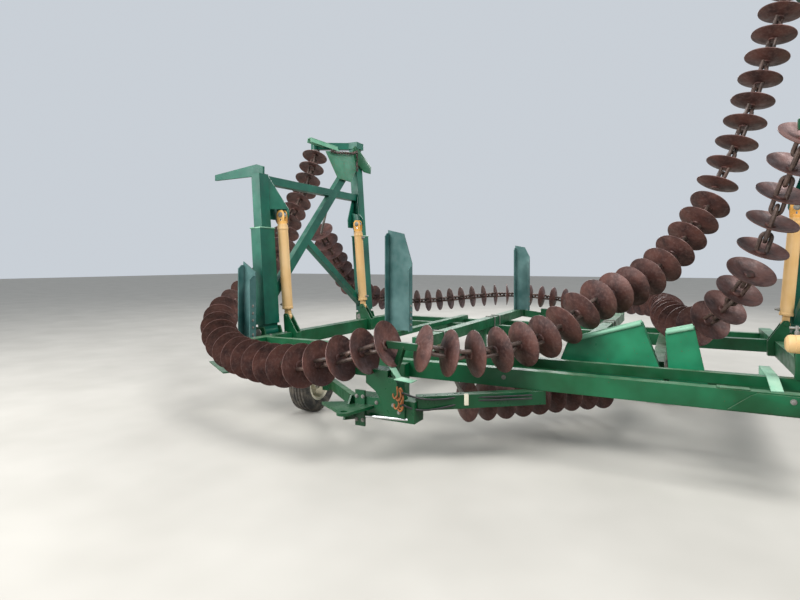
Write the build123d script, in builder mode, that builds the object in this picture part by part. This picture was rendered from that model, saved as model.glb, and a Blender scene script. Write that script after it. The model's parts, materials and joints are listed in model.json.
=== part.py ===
"""Folded disc chain harrow: welded centre frame on wheels, two wings folded upright, and runs of
dished discs on forged links that hang between the wings and the frame.
Millimetres, +X to the right, +Y towards the hitch, +Z up, origin on the ground under the middle."""
from math import cos, radians, sin
import os

from build123d import *

os.makedirs("parts", exist_ok=True)

# Overall places along the machine
REAR_Y = -4050.0          # rear end of the rear eye
FRONT_Y = 4050.0          # front end of the hitch clevis
REAR_BEAM_Y = -3050.0
RAIL_Y = -2800.0
REAR_POST_Y = -2550.0
FRONT_POST_Y = -350.0
MID_BEAM_Y = 0.0
FRONT_BEAM_Y = 650.0
SPINE_FRONT_Y = 1500.0

# Centre frame tubes
SIDE_X = 2550.0           # centre of each side rail
SIDE_W = 120.0
SIDE_H = 160.0
SIDE_TOP = 780.0
BEAM_W = 100.0
BEAM_H = 150.0
BEAM_TOP = 720.0
CROSS_W = 110.0
CROSS_H = 140.0
SPINE_X = 780.0
SPINE_W = 120.0
SPINE_H = 120.0
RAIL_H = 80.0
RAIL_W = 60.0
STRINGER_X = 1440.0
STRINGER_W = 100.0
STRINGER_H = 60.0
OUTRIGGER_Y = -2784.0
OUTRIGGER_L = 215.0
OUTRIGGER_W = 80.0
OUTRIGGER_H = 100.0
SHELF_Z = 454.0
SHELF_T = 12.0
SHELF_CORNERS = ((-690, 110), (-60, -300), (50, -130), (-580, 280))   # dx, dy from the rail's rear corner

# Wing hinge and wing members
HINGE_X = 2700.0
HINGE_Z = 800.0
LEAN = 4.0                # the folded wings lean outboard, degrees
PIN_R = 25.0
LUG_T = 20.0
LUG_R = 62.0
KNUCKLE_R = 50.0
COLUMN_W = 140.0
COLUMN_L = 250.0
COLUMN_FOOT = 90.0        # heights along the wing, from the hinge line
COLUMN_TOP = 1220.0
ARM_W = 120.0
ARM_L = 160.0
REAR_ARM_TOP = 1860.0
FRONT_ARM_TOP = 2560.0
BAR_W = 80.0
CROSSBAR_UP = 1800.0
CROSSBAR_H = 100.0
DIAG_W = 80.0
DIAG_H = 120.0
DIAG_LOW = 330.0
DIAG_HIGH = 2470.0
BRACE_LOW = 120.0
BRACE_TOP_Y = -1750.0
BRACE_W = 80.0

# Wing cylinders
CYL_BASE_X = 2590.0
CYL_BASE_Z = 960.0
CYL_EYE_UP = 1380.0       # along the wing
CYL_EYE_IN = 110.0        # inboard of the wing's centre line
CYL_OFFSET_Y = 230.0      # from each post's centre, towards the middle of the wing
BARREL_R = 62.0
ROD_R = 32.0
BARREL_START = 92.0       # from the lower pin to the barrel's closed end
BARREL_LENGTH = 1010.0
ROD_IN = 900.0            # of the rod inside the barrel
BASE_EYE_R = 42.0
EYE_R = 52.0
EYE_W = 50.0
EAR_T = 16.0
EAR_GAP = 14.0            # free space at each side of an eye
EAR_EDGE = 14.0           # of the ear beyond the eye's rim
EAR_CLEAR = 40.0          # between the ears' top and the crossbar
BASE_GAP = 6.0            # free space at each side of a barrel's lower eye
BRACKET_OUT = 60.0        # of the bracket's foot inboard of the side rail

# Discs and links
DISC_R = 190.0
DISC_T = 10.0
DISC_SIDES = 8
PITCH = 210.0
LINK_W = 40.0

# Wheels
WHEEL_R = 330.0
WHEEL_W = 260.0
WHEEL_X = 1500.0
WHEEL_Y = -450.0
TAIL_WHEEL_R = 300.0
TAIL_WHEEL_W = 230.0
TAIL_WHEEL_X = -1950.0
TAIL_WHEEL_Y = -2700.0
HUB_R = 60.0
AXLE_R = 30.0
FIT = 0.05                # running clearance on a radius
SEAT = 0.3                # gap between faces that only rest on each other

# Drawbar, hitch and jack
TONGUE_REAR_Y = 3000.0
TONGUE_W = 140.0
TONGUE_H = 120.0
HITCH_Z = 480.0
HITCH_BORE_R = 16.5
HITCH_PLATE_T = 30.0
HITCH_GAP = 70.0
JACK_Y = 3600.0
JACK_X = 170.0
JACK_R = 38.0
JACK_LEG_R = 30.0
JACK_FOOT = 180.0


def save(piece, name):
    piece.part.label = name
    export_step(piece.part, f"parts/{name}.step")


def bar_plane(start, end, up=(0, 0, 1)):
    """Plane at start, facing end, with its own Y as near to up as it can be."""
    z_dir = (Vector(*end) - Vector(*start)).normalized()
    x_dir = Vector(*up).cross(z_dir).normalized()
    return Plane(origin=start, x_dir=x_dir, z_dir=z_dir)


def bar(start, end, width, height, up=(0, 0, 1)):
    """Rectangular tube from start to end, added to the part being built."""
    length = (Vector(*end) - Vector(*start)).length
    with BuildSketch(bar_plane(start, end, up)) as section:
        Rectangle(width, height)
    extrude(section.sketch, amount=length)


def wing_point(inboard, y, up):
    """A point on the right wing: up along its leaning plane, inboard square to it."""
    lean = radians(LEAN)
    x = HINGE_X + up * sin(lean) - inboard * cos(lean)
    z = HINGE_Z + up * cos(lean) + inboard * sin(lean)
    return (x, y, z)


WING_UP = (sin(radians(LEAN)), 0, cos(radians(LEAN)))


def wing_bar(start, end, width, height):
    """Tube between two wing points, width square to the wing's plane."""
    z_dir = (Vector(*end) - Vector(*start)).normalized()
    x_dir = Vector(cos(radians(LEAN)), 0, -sin(radians(LEAN)))
    length = (Vector(*end) - Vector(*start)).length
    with BuildSketch(Plane(origin=start, x_dir=x_dir, z_dir=z_dir)) as section:
        Rectangle(width, height)
    extrude(section.sketch, amount=length)


def both_sides(name):
    """Write the right-hand piece and its mirror image."""
    def write(piece):
        save(piece, f"right_{name}")
        with BuildPart() as left:
            add(mirror(piece.part, about=Plane.YZ))
        save(left, f"left_{name}")
    return write


def disc_run(points, first=0.0, last=1.0):
    """Places along a smooth hanging line: disc planes and the links between them."""
    line = Spline(*points)
    count = round(line.length * (last - first) / PITCH)
    steps = [first + (last - first) * i / count for i in range(count + 1)]
    spots = [line.position_at(t) for t in steps]
    discs = [Plane(origin=p, z_dir=line.tangent_at(t)) for p, t in zip(spots, steps)]
    links = [Plane(origin=(a + b) / 2, z_dir=b - a) for a, b in zip(spots, spots[1:])]
    return discs, links, (spots[1] - spots[0]).length


def make_run(name, points, first=0.0, last=1.0):
    discs, links, gap = disc_run(points, first, last)
    with BuildPart() as run:
        with BuildSketch(*discs):
            RegularPolygon(radius=DISC_R, side_count=DISC_SIDES)
        extrude(amount=DISC_T / 2, both=True)
        with BuildSketch(*links):
            Rectangle(LINK_W, LINK_W)
        extrude(amount=gap / 2, both=True)
    save(run, name)
    return run


# Centre frame
cross_half = SIDE_X - SIDE_W / 2

with BuildPart() as side_rails:
    for side in (-1, 1):
        with Locations((side * SIDE_X, (REAR_BEAM_Y - 80 + FRONT_BEAM_Y + 60) / 2, SIDE_TOP - SIDE_H / 2)):
            Box(SIDE_W, FRONT_BEAM_Y + 60 - REAR_BEAM_Y + 80, SIDE_H)
        for post_y in (REAR_POST_Y, FRONT_POST_Y):
            for shift in (-COLUMN_L / 2 - LUG_T / 2 - 6, COLUMN_L / 2 + LUG_T / 2 + 6):
                with BuildSketch(Plane.XZ.offset(-post_y - shift)):
                    with BuildLine():
                        inner = side * (SIDE_X + SIDE_W / 2)
                        Polyline(
                            (inner, SIDE_TOP - SIDE_H),
                            (side * (HINGE_X + LUG_R), HINGE_Z - 40),
                            (side * (HINGE_X + LUG_R), HINGE_Z + LUG_R),
                            (side * (HINGE_X - LUG_R), HINGE_Z + LUG_R),
                            (inner, SIDE_TOP),
                            close=True,
                        )
                    make_face()
                extrude(amount=LUG_T / 2, both=True)
    for side in (-1, 1):
        for post_y in (REAR_POST_Y, FRONT_POST_Y):
            with BuildSketch(Plane.XZ.offset(-post_y)):
                with Locations((side * HINGE_X, HINGE_Z)):
                    Circle(PIN_R)
            extrude(amount=COLUMN_L, both=True, mode=Mode.SUBTRACT)
    # short outrigger on the left that carries the outer guide post
    with Locations((-(SIDE_X + SIDE_W / 2 + OUTRIGGER_L / 2), OUTRIGGER_Y, SIDE_TOP - SIDE_H / 2)):
        Box(OUTRIGGER_L, OUTRIGGER_W, OUTRIGGER_H)
    # plate that reaches out under the corner, hung from the left rail's rear end
    with BuildSketch(Plane.XY.offset(SHELF_Z)):
        with BuildLine():
            Polyline(*[(-SIDE_X + dx, REAR_BEAM_Y + dy) for dx, dy in SHELF_CORNERS], close=True)
        make_face()
    extrude(amount=SHELF_T)
    with Locations((-SIDE_X, REAR_BEAM_Y - 60, (SHELF_Z + SHELF_T + SIDE_TOP - SIDE_H) / 2)):
        Box(SIDE_W - 20, 40, SIDE_TOP - SIDE_H - SHELF_Z - SHELF_T)
save(side_rails, "side_rails")

with BuildPart() as hinge_pins:
    for side in (-1, 1):
        for post_y in (REAR_POST_Y, FRONT_POST_Y):
            with BuildSketch(Plane.XZ.offset(-post_y)):
                with Locations((side * HINGE_X, HINGE_Z)):
                    Circle(PIN_R - FIT)
            extrude(amount=COLUMN_L / 2 + LUG_T + 20, both=True)
save(hinge_pins, "hinge_pins")

with BuildPart() as cross_beams:
    with Locations((0, REAR_BEAM_Y, BEAM_TOP - BEAM_H / 2)):
        Box(2 * cross_half, BEAM_W, BEAM_H)
    with Locations((0, RAIL_Y, SIDE_TOP - RAIL_H / 2)):
        Box(2 * cross_half, RAIL_W, RAIL_H)
    for beam_y in (REAR_POST_Y + 100, MID_BEAM_Y, FRONT_BEAM_Y):
        with Locations((0, beam_y, BEAM_TOP - CROSS_H / 2)):
            Box(2 * cross_half, CROSS_W, CROSS_H)
save(cross_beams, "cross_beams")

spine_rear = REAR_POST_Y + 100 - CROSS_W / 2
with BuildPart() as long_beams:
    for side in (-1, 1):
        with Locations((side * SPINE_X, (spine_rear + SPINE_FRONT_Y) / 2, BEAM_TOP + SPINE_H / 2)):
            Box(SPINE_W, SPINE_FRONT_Y - spine_rear, SPINE_H)
        with Locations((side * STRINGER_X, (spine_rear + FRONT_BEAM_Y) / 2, BEAM_TOP + STRINGER_H / 2)):
            Box(STRINGER_W, FRONT_BEAM_Y - spine_rear, STRINGER_H)
save(long_beams, "long_beams")

# Drawbar: two legs that run together into one tongue
leg_z = BEAM_TOP + SPINE_H / 2
with BuildPart() as tongue:
    bar((0, TONGUE_REAR_Y, HITCH_Z), (0, FRONT_Y - 200, HITCH_Z), TONGUE_W, TONGUE_H)
save(tongue, "tongue")

with BuildPart() as drawbar_legs:
    for side in (-1, 1):
        start = (side * SPINE_X, SPINE_FRONT_Y - 60, leg_z)
        end = (side * 60, TONGUE_REAR_Y + 300, HITCH_Z)
        bar(start, end, 100, 110)
    with Locations((0, SPINE_FRONT_Y - 60, leg_z)):
        Box(2 * SPINE_X + SPINE_W, 120, SPINE_H, mode=Mode.SUBTRACT)
    for side in (-1, 1):
        with Locations((side * SPINE_X, SPINE_FRONT_Y - 500, leg_z)):
            Box(SPINE_W, 1000, SPINE_H, mode=Mode.SUBTRACT)
    add(tongue.part, mode=Mode.SUBTRACT)
    with Locations((0, 0, 0)):
        Box(2 * SEAT, 20000, 4000, mode=Mode.SUBTRACT)
save(drawbar_legs, "drawbar_legs")

with BuildPart() as hitch_clevis:
    for level in (-1, 1):
        with BuildSketch(Plane.XY.offset(HITCH_Z + level * (HITCH_GAP + HITCH_PLATE_T) / 2)):
            with Locations((0, FRONT_Y - 60)):
                Circle(60)
            with Locations((0, FRONT_Y - 120)):
                Rectangle(120, 120)
            with Locations((0, FRONT_Y - 60)):
                Circle(HITCH_BORE_R, mode=Mode.SUBTRACT)
        extrude(amount=HITCH_PLATE_T / 2, both=True)
    with Locations((0, FRONT_Y - 190, HITCH_Z)):
        Box(TONGUE_W, 20, HITCH_GAP + 2 * HITCH_PLATE_T)
save(hitch_clevis, "hitch_clevis")

with BuildPart() as jack_body:
    with BuildSketch(Plane.XY.offset(300)):
        with Locations((JACK_X, JACK_Y)):
            Circle(JACK_R)
            Circle(JACK_LEG_R + 0.5, mode=Mode.SUBTRACT)
    extrude(amount=480)
    with BuildSketch(Plane.XY.offset(780)):
        with Locations((JACK_X, JACK_Y)):
            Circle(JACK_R)
    extrude(amount=20)
    with Locations((TONGUE_W / 2 + (JACK_X - TONGUE_W / 2 - JACK_R + 2) / 2, JACK_Y, HITCH_Z + 50)):
        Box(JACK_X - TONGUE_W / 2 - JACK_R + 2, 90, 70)
save(jack_body, "jack_body")

with BuildPart() as jack_leg:
    with BuildSketch(Plane.XY.offset(12)):
        with Locations((JACK_X, JACK_Y)):
            Circle(JACK_LEG_R)
    extrude(amount=420)
    with Locations((JACK_X, JACK_Y, 6)):
        Box(JACK_FOOT, JACK_FOOT, 12)
save(jack_leg, "jack_leg")

# Main axle and wheels
with BuildPart() as axle:
    with Locations((0, WHEEL_Y, WHEEL_R)):
        Box(2 * (WHEEL_X - WHEEL_W / 2 - 60), 90, 90)
    for side in (-1, 1):
        with BuildSketch(Plane.YZ.offset(side * (WHEEL_X - WHEEL_W / 2 - 60))):
            with Locations((WHEEL_Y, WHEEL_R)):
                Circle(AXLE_R - FIT)
        extrude(amount=side * (WHEEL_W + 60))
        with Locations((side * SPINE_X, WHEEL_Y, (WHEEL_R + 45 + BEAM_TOP) / 2)):
            Box(90, 90, BEAM_TOP - WHEEL_R - 45)
save(axle, "axle")


def make_wheel(name, x, y, radius, width):
    """Tyre on a dished rim with a hub bored for its axle; it turns about X."""
    half = width / 2
    rim_r = radius * 0.56
    with BuildPart() as tyre:
        with BuildSketch(Plane.XY):
            with BuildLine():
                Polyline(
                    (-half * 0.78, rim_r), (-half, rim_r + (radius - rim_r) * 0.35),
                    (-half, radius - 50), (-half * 0.72, radius), (half * 0.72, radius),
                    (half, radius - 50), (half, rim_r + (radius - rim_r) * 0.35), (half * 0.78, rim_r),
                    close=True,
                )
            make_face()
        revolve(axis=Axis.X)
    tyre.part.position = (x, y, radius)
    save(tyre, f"{name}_tyre")
    with BuildPart() as rim:
        with BuildSketch(Plane.XY):
            with BuildLine():
                Polyline(
                    (-half * 0.78, rim_r - SEAT), (-half * 0.78, rim_r - 22), (-20, rim_r - 40), (-10, HUB_R),
                    (-half * 0.6, HUB_R), (-half * 0.6, AXLE_R), (half * 0.6, AXLE_R),
                    (half * 0.6, HUB_R), (10, HUB_R), (0, rim_r - 40), (half * 0.78, rim_r - 22),
                    (half * 0.78, rim_r - SEAT),
                    close=True,
                )
            make_face()
        revolve(axis=Axis.X)
    rim.part.position = (x, y, radius)
    save(rim, f"{name}_rim")


make_wheel("right_wheel", WHEEL_X, WHEEL_Y, WHEEL_R, WHEEL_W)
make_wheel("left_wheel", -WHEEL_X, WHEEL_Y, WHEEL_R, WHEEL_W)
make_wheel("tail_wheel", TAIL_WHEEL_X, TAIL_WHEEL_Y, TAIL_WHEEL_R, TAIL_WHEEL_W)

# Rear centre assembly, left of the middle, that carries the rear junction of the discs
TAIL_X = -620.0
TAIL_Y = -3650.0
TAIL_Z = 435.0
TAIL_W = 560.0
TAIL_L = 160.0
TAIL_H = 170.0
TAIL_MID = TAIL_X + 120
TAIL_PLATE_T = 18.0
EYE_PLATE_Z = 430.0
EYE_PLATE_T = 24.0
EYE_BORE_R = 28.0
tail_rear = TAIL_Y - TAIL_L / 2
tail_front = TAIL_Y + TAIL_L / 2
beam_rear = REAR_BEAM_Y - BEAM_W / 2
eye_x = TAIL_X - 80
eye_y = REAR_Y + 60
with BuildPart() as tail_box:
    with Locations((TAIL_MID, TAIL_Y, TAIL_Z)):
        Box(TAIL_W, TAIL_L, TAIL_H)
    # upright plate on the rear face, lower than the box
    with Locations((TAIL_X - 85, tail_rear - TAIL_PLATE_T / 2, TAIL_Z - 10)):
        Box(90, TAIL_PLATE_T, 290)
    # cheek at the left end
    with BuildSketch(Plane.YZ.offset(TAIL_MID - TAIL_W / 2 - TAIL_PLATE_T)):
        with BuildLine():
            Polyline(
                (tail_rear - 130, TAIL_Z - 90), (tail_front + 60, TAIL_Z - 160), (tail_front + 60, TAIL_Z + 60),
                (tail_rear - 20, TAIL_Z + 85), close=True,
            )
        make_face()
    extrude(amount=TAIL_PLATE_T)
    # strut forward to the rear beam, and the long one that runs out to the right beneath it
    with Locations((TAIL_X, (tail_front + beam_rear) / 2, TAIL_Z)):
        Box(90, beam_rear - tail_front, 110)
    with Locations((TAIL_X, beam_rear - 50, (TAIL_Z + BEAM_TOP - 20) / 2)):
        Box(90, 100, BEAM_TOP - 20 - TAIL_Z)
    strut_z = BEAM_TOP - BEAM_H - 55
    bar((TAIL_MID + TAIL_W / 2 - 20, TAIL_Y, strut_z - 15), (SPINE_X - 160, REAR_BEAM_Y, strut_z), 90, 110)
    # tapered plate with the tow eye
    with BuildSketch(Plane.XY.offset(EYE_PLATE_Z)):
        with BuildLine():
            Polyline(
                (eye_x - 60, eye_y), (eye_x - 330, tail_rear - 90), (TAIL_MID - TAIL_W / 2, tail_rear + 60),
                (TAIL_X + 40, tail_rear + 20), (eye_x + 60, eye_y), close=True,
            )
        make_face()
        with Locations((eye_x, eye_y)):
            Circle(60)
            Circle(EYE_BORE_R, mode=Mode.SUBTRACT)
    extrude(amount=EYE_PLATE_T)
save(tail_box, "tail_box")

with BuildPart() as tail_arm:
    bar((TAIL_X - 100, TAIL_Y, TAIL_Z - 35), (TAIL_WHEEL_X + 230, TAIL_WHEEL_Y, TAIL_WHEEL_R + 30), 60, 100)
    with BuildSketch(Plane.YZ.offset(TAIL_WHEEL_X - TAIL_WHEEL_W / 2 - 20)):
        with Locations((TAIL_WHEEL_Y, TAIL_WHEEL_R)):
            Circle(AXLE_R - FIT)
    extrude(amount=TAIL_WHEEL_W + 20 + 160)
    with Locations((TAIL_WHEEL_X + 210, TAIL_WHEEL_Y, TAIL_WHEEL_R + 10)):
        Box(80, 110, 120)
    with Locations((TAIL_MID - TAIL_W / 2 - TAIL_PLATE_T + 1000, TAIL_Y, TAIL_Z)):
        Box(2000, 2000, 600, mode=Mode.SUBTRACT)
save(tail_arm, "tail_arm")

# Guide posts for the discs on the left, outer, middle and front. Each is a plate with a flange down either
# edge and a top that slants to a chamfer: x, y, foot, top at the left, at the chamfer, at the right, chamfer, width
GUIDE_T = 12.0
GUIDE_FLANGE = 90.0
GUIDE_LIP = 40.0
GUIDES = (
    (-2730, -2830, 640, 1620, 1560, 1500, 85, 180),
    (-STRINGER_X, -1610, BEAM_TOP + STRINGER_H, 2010, 1960, 1600, 110, 330),
    (-SPINE_X + 90, 1300, BEAM_TOP + SPINE_H, 1890, 1860, 1700, 80, 240),
)
with BuildPart() as guide_posts:
    for x, y, foot, left_top, mid_top, right_top, chamfer_w, width in GUIDES:
        left_x = x - width / 2
        right_x = x + width / 2
        with BuildSketch(Plane.XZ.offset(-y)):
            with BuildLine():
                Polyline(
                    (left_x, foot), (left_x, left_top), (right_x - chamfer_w, mid_top), (right_x, right_top), (right_x, foot),
                    close=True,
                )
            make_face()
        extrude(amount=GUIDE_T / 2, both=True)
        for edge_x, top in ((left_x + GUIDE_T / 2, left_top), (right_x - GUIDE_T / 2, right_top)):
            with BuildSketch(Plane.YZ.offset(edge_x)):
                with BuildLine():
                    Polyline(
                        (y, foot), (y - GUIDE_FLANGE, foot), (y - GUIDE_FLANGE, top - 2 * GUIDE_LIP),
                        (y - GUIDE_LIP, top - GUIDE_LIP), (y, top - GUIDE_LIP), close=True,
                    )
                make_face()
            extrude(amount=GUIDE_T / 2, both=True)
save(guide_posts, "guide_posts")

# Each saddle is a folded sheet; columns: x at the foot (left, right), x at the top, top height at each
SADDLE_FOOT = BEAM_TOP - 110
SADDLE_T = 12.0
SADDLE_DEPTH = 150.0
SADDLES = (
    ((620, 1510), (740, 1330), (925, 1110)),
    ((1535, 1810), (1500, 1710), (1040, 1095)),
)
beam_face = REAR_POST_Y + 100 - CROSS_W / 2
with BuildPart() as saddles:
    for foot, top, height in SADDLES:
        with BuildSketch(Plane.XZ.offset(-beam_face + SEAT)):
            with BuildLine():
                Polyline(
                    (foot[0], SADDLE_FOOT), (foot[1], SADDLE_FOOT), (top[1], height[1]), (top[0], height[0]), close=True
                )
            make_face()
        extrude(amount=SADDLE_DEPTH)
        with BuildSketch(Plane.XZ.offset(-beam_face + SEAT + SADDLE_T)):
            with BuildLine():
                Polyline(
                    (foot[0] + 2 * SADDLE_T, SADDLE_FOOT), (foot[1] - 2 * SADDLE_T, SADDLE_FOOT),
                    (top[1] - SADDLE_T, height[1] - SADDLE_T), (top[0] + SADDLE_T, height[0] - SADDLE_T), close=True,
                )
            make_face()
        extrude(amount=SADDLE_DEPTH - 2 * SADDLE_T, mode=Mode.SUBTRACT)
save(saddles, "saddles")

# Wings: the right one is modelled, the left one mirrored
write_post = both_sides("rear_post")
with BuildPart() as rear_post:
    wing_bar(wing_point(0, REAR_POST_Y, COLUMN_FOOT), wing_point(0, REAR_POST_Y, COLUMN_TOP), COLUMN_W, COLUMN_L)
    wing_bar(wing_point(0, REAR_POST_Y, COLUMN_TOP), wing_point(0, REAR_POST_Y, REAR_ARM_TOP), ARM_W, ARM_L)
    with BuildSketch(Plane.XZ.offset(-REAR_POST_Y)):
        with Locations((HINGE_X, HINGE_Z)):
            Circle(KNUCKLE_R)
    extrude(amount=COLUMN_L / 2, both=True)
    wing_bar(wing_point(0, REAR_POST_Y, 0), wing_point(0, REAR_POST_Y, COLUMN_FOOT), 80, COLUMN_L)
    with BuildSketch(Plane.XZ.offset(-REAR_POST_Y)):
        with Locations((HINGE_X, HINGE_Z)):
            Circle(PIN_R)
    extrude(amount=COLUMN_L, both=True, mode=Mode.SUBTRACT)
write_post(rear_post)

write_post = both_sides("front_post")
with BuildPart() as front_post:
    wing_bar(wing_point(0, FRONT_POST_Y, COLUMN_FOOT), wing_point(0, FRONT_POST_Y, COLUMN_TOP), COLUMN_W, COLUMN_L)
    wing_bar(wing_point(0, FRONT_POST_Y, COLUMN_TOP), wing_point(0, FRONT_POST_Y, FRONT_ARM_TOP), ARM_W, ARM_L)
    with BuildSketch(Plane.XZ.offset(-FRONT_POST_Y)):
        with Locations((HINGE_X, HINGE_Z)):
            Circle(KNUCKLE_R)
    extrude(amount=COLUMN_L / 2, both=True)
    wing_bar(wing_point(0, FRONT_POST_Y, 0), wing_point(0, FRONT_POST_Y, COLUMN_FOOT), 80, COLUMN_L)
    with BuildSketch(Plane.XZ.offset(-FRONT_POST_Y)):
        with Locations((HINGE_X, HINGE_Z)):
            Circle(PIN_R)
    extrude(amount=COLUMN_L, both=True, mode=Mode.SUBTRACT)
write_post(front_post)

write_bar = both_sides("wing_diagonal")
with BuildPart() as wing_diagonal:
    wing_bar(wing_point(0, REAR_POST_Y, DIAG_LOW), wing_point(0, FRONT_POST_Y, DIAG_HIGH), DIAG_W, DIAG_H)
    add(rear_post.part, mode=Mode.SUBTRACT)
    add(front_post.part, mode=Mode.SUBTRACT)
write_bar(wing_diagonal)

brace_top_up = DIAG_LOW + (DIAG_HIGH - DIAG_LOW) * (BRACE_TOP_Y - REAR_POST_Y) / (FRONT_POST_Y - REAR_POST_Y)
write_bar = both_sides("wing_braces")
with BuildPart() as wing_braces:
    wing_bar(wing_point(0, REAR_POST_Y, CROSSBAR_UP), wing_point(0, FRONT_POST_Y, CROSSBAR_UP), BAR_W, CROSSBAR_H)
    wing_bar(wing_point(0, FRONT_POST_Y, BRACE_LOW), wing_point(0, BRACE_TOP_Y, brace_top_up), BRACE_W, 90)
    add(rear_post.part, mode=Mode.SUBTRACT)
    add(front_post.part, mode=Mode.SUBTRACT)
    add(wing_diagonal.part, mode=Mode.SUBTRACT)
write_bar(wing_braces)

# Ears that take the rods' eyes, one pair beside each post: triangular plates that hang from a short bar
ear_top = CROSSBAR_UP - CROSSBAR_H / 2 - EAR_CLEAR
write_bar = both_sides("rod_ears")
with BuildPart() as rod_ears:
    for post_y, toward in ((REAR_POST_Y, 1), (FRONT_POST_Y, -1)):
        centre = post_y + toward * CYL_OFFSET_Y
        for shift in (-1, 1):
            ear_y = centre + shift * (EYE_W / 2 + EAR_GAP + EAR_T / 2)
            low = wing_point(CYL_EYE_IN, ear_y, CYL_EYE_UP)
            with BuildSketch(Plane.XZ.offset(-ear_y)):
                with BuildLine():
                    Polyline(
                        wing_point(CYL_EYE_IN + EYE_R + EAR_EDGE, ear_y, CYL_EYE_UP + 20)[::2],
                        wing_point(CYL_EYE_IN + 30, ear_y, CYL_EYE_UP - EYE_R - EAR_EDGE)[::2],
                        wing_point(CYL_EYE_IN - 30, ear_y, CYL_EYE_UP - EYE_R - EAR_EDGE)[::2],
                        wing_point(-ARM_W / 2, ear_y, ear_top)[::2], wing_point(ARM_W / 2, ear_y, ear_top)[::2],
                        close=True,
                    )
                make_face()
                with Locations((low[0], low[2])):
                    Circle(PIN_R + 6, mode=Mode.SUBTRACT)
            extrude(amount=EAR_T / 2, both=True)
        top = wing_point(0, post_y + toward * ARM_L / 2, ear_top - 50)
        far = wing_point(0, centre + toward * (EYE_W / 2 + EAR_GAP + EAR_T), ear_top - 50)
        wing_bar(top, far, 80, 90)
write_bar(rod_ears)

# Cylinders: the barrel swings on the frame, the rod slides in it
eye = wing_point(CYL_EYE_IN, 0, CYL_EYE_UP)
cyl_dir = Vector(eye[0] - CYL_BASE_X, 0, eye[2] - CYL_BASE_Z)
cyl_length = cyl_dir.length
write_bar = both_sides("cylinder_barrels")
with BuildPart() as barrels:
    for post_y, toward in ((REAR_POST_Y, 1), (FRONT_POST_Y, -1)):
        cy = post_y + toward * CYL_OFFSET_Y
        plane = Plane(origin=(CYL_BASE_X, cy, CYL_BASE_Z), x_dir=(0, 1, 0), z_dir=cyl_dir)
        with BuildSketch(plane):
            Rectangle(EYE_W, 64)
        extrude(amount=BARREL_START + 5)
        with BuildSketch(plane.offset(BARREL_START)):
            Circle(BARREL_R)
        extrude(amount=BARREL_LENGTH)
        with BuildSketch(Plane.XZ.offset(-cy)):
            with Locations((CYL_BASE_X, CYL_BASE_Z)):
                Circle(BASE_EYE_R)
        extrude(amount=EYE_W / 2, both=True)
        with BuildSketch(Plane.XZ.offset(-cy)):
            with Locations((CYL_BASE_X, CYL_BASE_Z)):
                Circle(PIN_R - 5)
        extrude(amount=EYE_W, both=True, mode=Mode.SUBTRACT)
        with BuildSketch(plane.offset(BARREL_START + 30)):
            Circle(ROD_R + FIT)
        extrude(amount=BARREL_LENGTH, mode=Mode.SUBTRACT)
write_bar(barrels)

write_bar = both_sides("cylinder_rods")
with BuildPart() as rods:
    for post_y, toward in ((REAR_POST_Y, 1), (FRONT_POST_Y, -1)):
        cy = post_y + toward * CYL_OFFSET_Y
        plane = Plane(origin=(CYL_BASE_X, cy, CYL_BASE_Z), x_dir=(0, 1, 0), z_dir=cyl_dir)
        with BuildSketch(plane.offset(BARREL_START + BARREL_LENGTH - ROD_IN)):
            Circle(ROD_R)
        extrude(amount=cyl_length - EYE_R + 6 - BARREL_START - BARREL_LENGTH + ROD_IN)
        with BuildSketch(Plane.XZ.offset(-cy)):
            with Locations((eye[0], eye[2])):
                Circle(EYE_R)
        extrude(amount=EYE_W / 2, both=True)
write_bar(rods)

# Brackets that carry the barrels' lower pins on the side rails
with BuildPart() as cylinder_brackets:
    for side in (-1, 1):
        for post_y, toward in ((REAR_POST_Y, 1), (FRONT_POST_Y, -1)):
            cy = post_y + toward * CYL_OFFSET_Y
            for shift in (-1, 1):
                ear_y = cy + shift * (EYE_W / 2 + BASE_GAP + EAR_T / 2)
                with BuildSketch(Plane.XZ.offset(-ear_y)):
                    with BuildLine():
                        Polyline(
                            (side * (SIDE_X + SIDE_W / 2), SIDE_TOP), (side * (SIDE_X - SIDE_W / 2 - BRACKET_OUT), SIDE_TOP),
                            (side * (CYL_BASE_X - 35), CYL_BASE_Z + 20), (side * (CYL_BASE_X - 18), CYL_BASE_Z + 38),
                            (side * (CYL_BASE_X + 18), CYL_BASE_Z + 38), (side * (CYL_BASE_X + 35), CYL_BASE_Z + 20),
                            close=True,
                        )
                    make_face()
                extrude(amount=EAR_T / 2, both=True)
            with BuildSketch(Plane.XZ.offset(-cy)):
                with Locations((side * CYL_BASE_X, CYL_BASE_Z)):
                    Circle(PIN_R - 5 - FIT)
            extrude(amount=EYE_W / 2 + BASE_GAP + EAR_T + 10, both=True)
            with Locations((side * (SIDE_X - SIDE_W / 2 - BRACKET_OUT / 2), cy, SIDE_TOP - SIDE_H / 2)):
                Box(BRACKET_OUT, EYE_W + 2 * (BASE_GAP + EAR_T), SIDE_H)
save(cylinder_brackets, "cylinder_brackets")

# Where the runs are held
HUB_LEFT = (-3350.0, -740.0, 3320.0)
HUB_RIGHT = (2512.0, -1243.0, 4257.0)
HANGER_RIGHT = (2420.0, -2640.0, 2540.0)   # end of the near right run, on the rear post's top
HOOK_LEFT = (-3100.0, -930.0, 2045.0)      # end of the far left run, on a hook rod
REAR_JUNCTION = ((-470.0, -3730.0, 955.0), (-220.0, -3625.0, 930.0))
FRONT_JUNCTION = (150.0, 2150.0, 970.0)
HOOK_ROOT = (-2830.0, -1150.0, 2430.0)      # on the left diagonal
STEM_R = 18.0
tip = wing_point(0, FRONT_POST_Y, FRONT_ARM_TOP)
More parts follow.
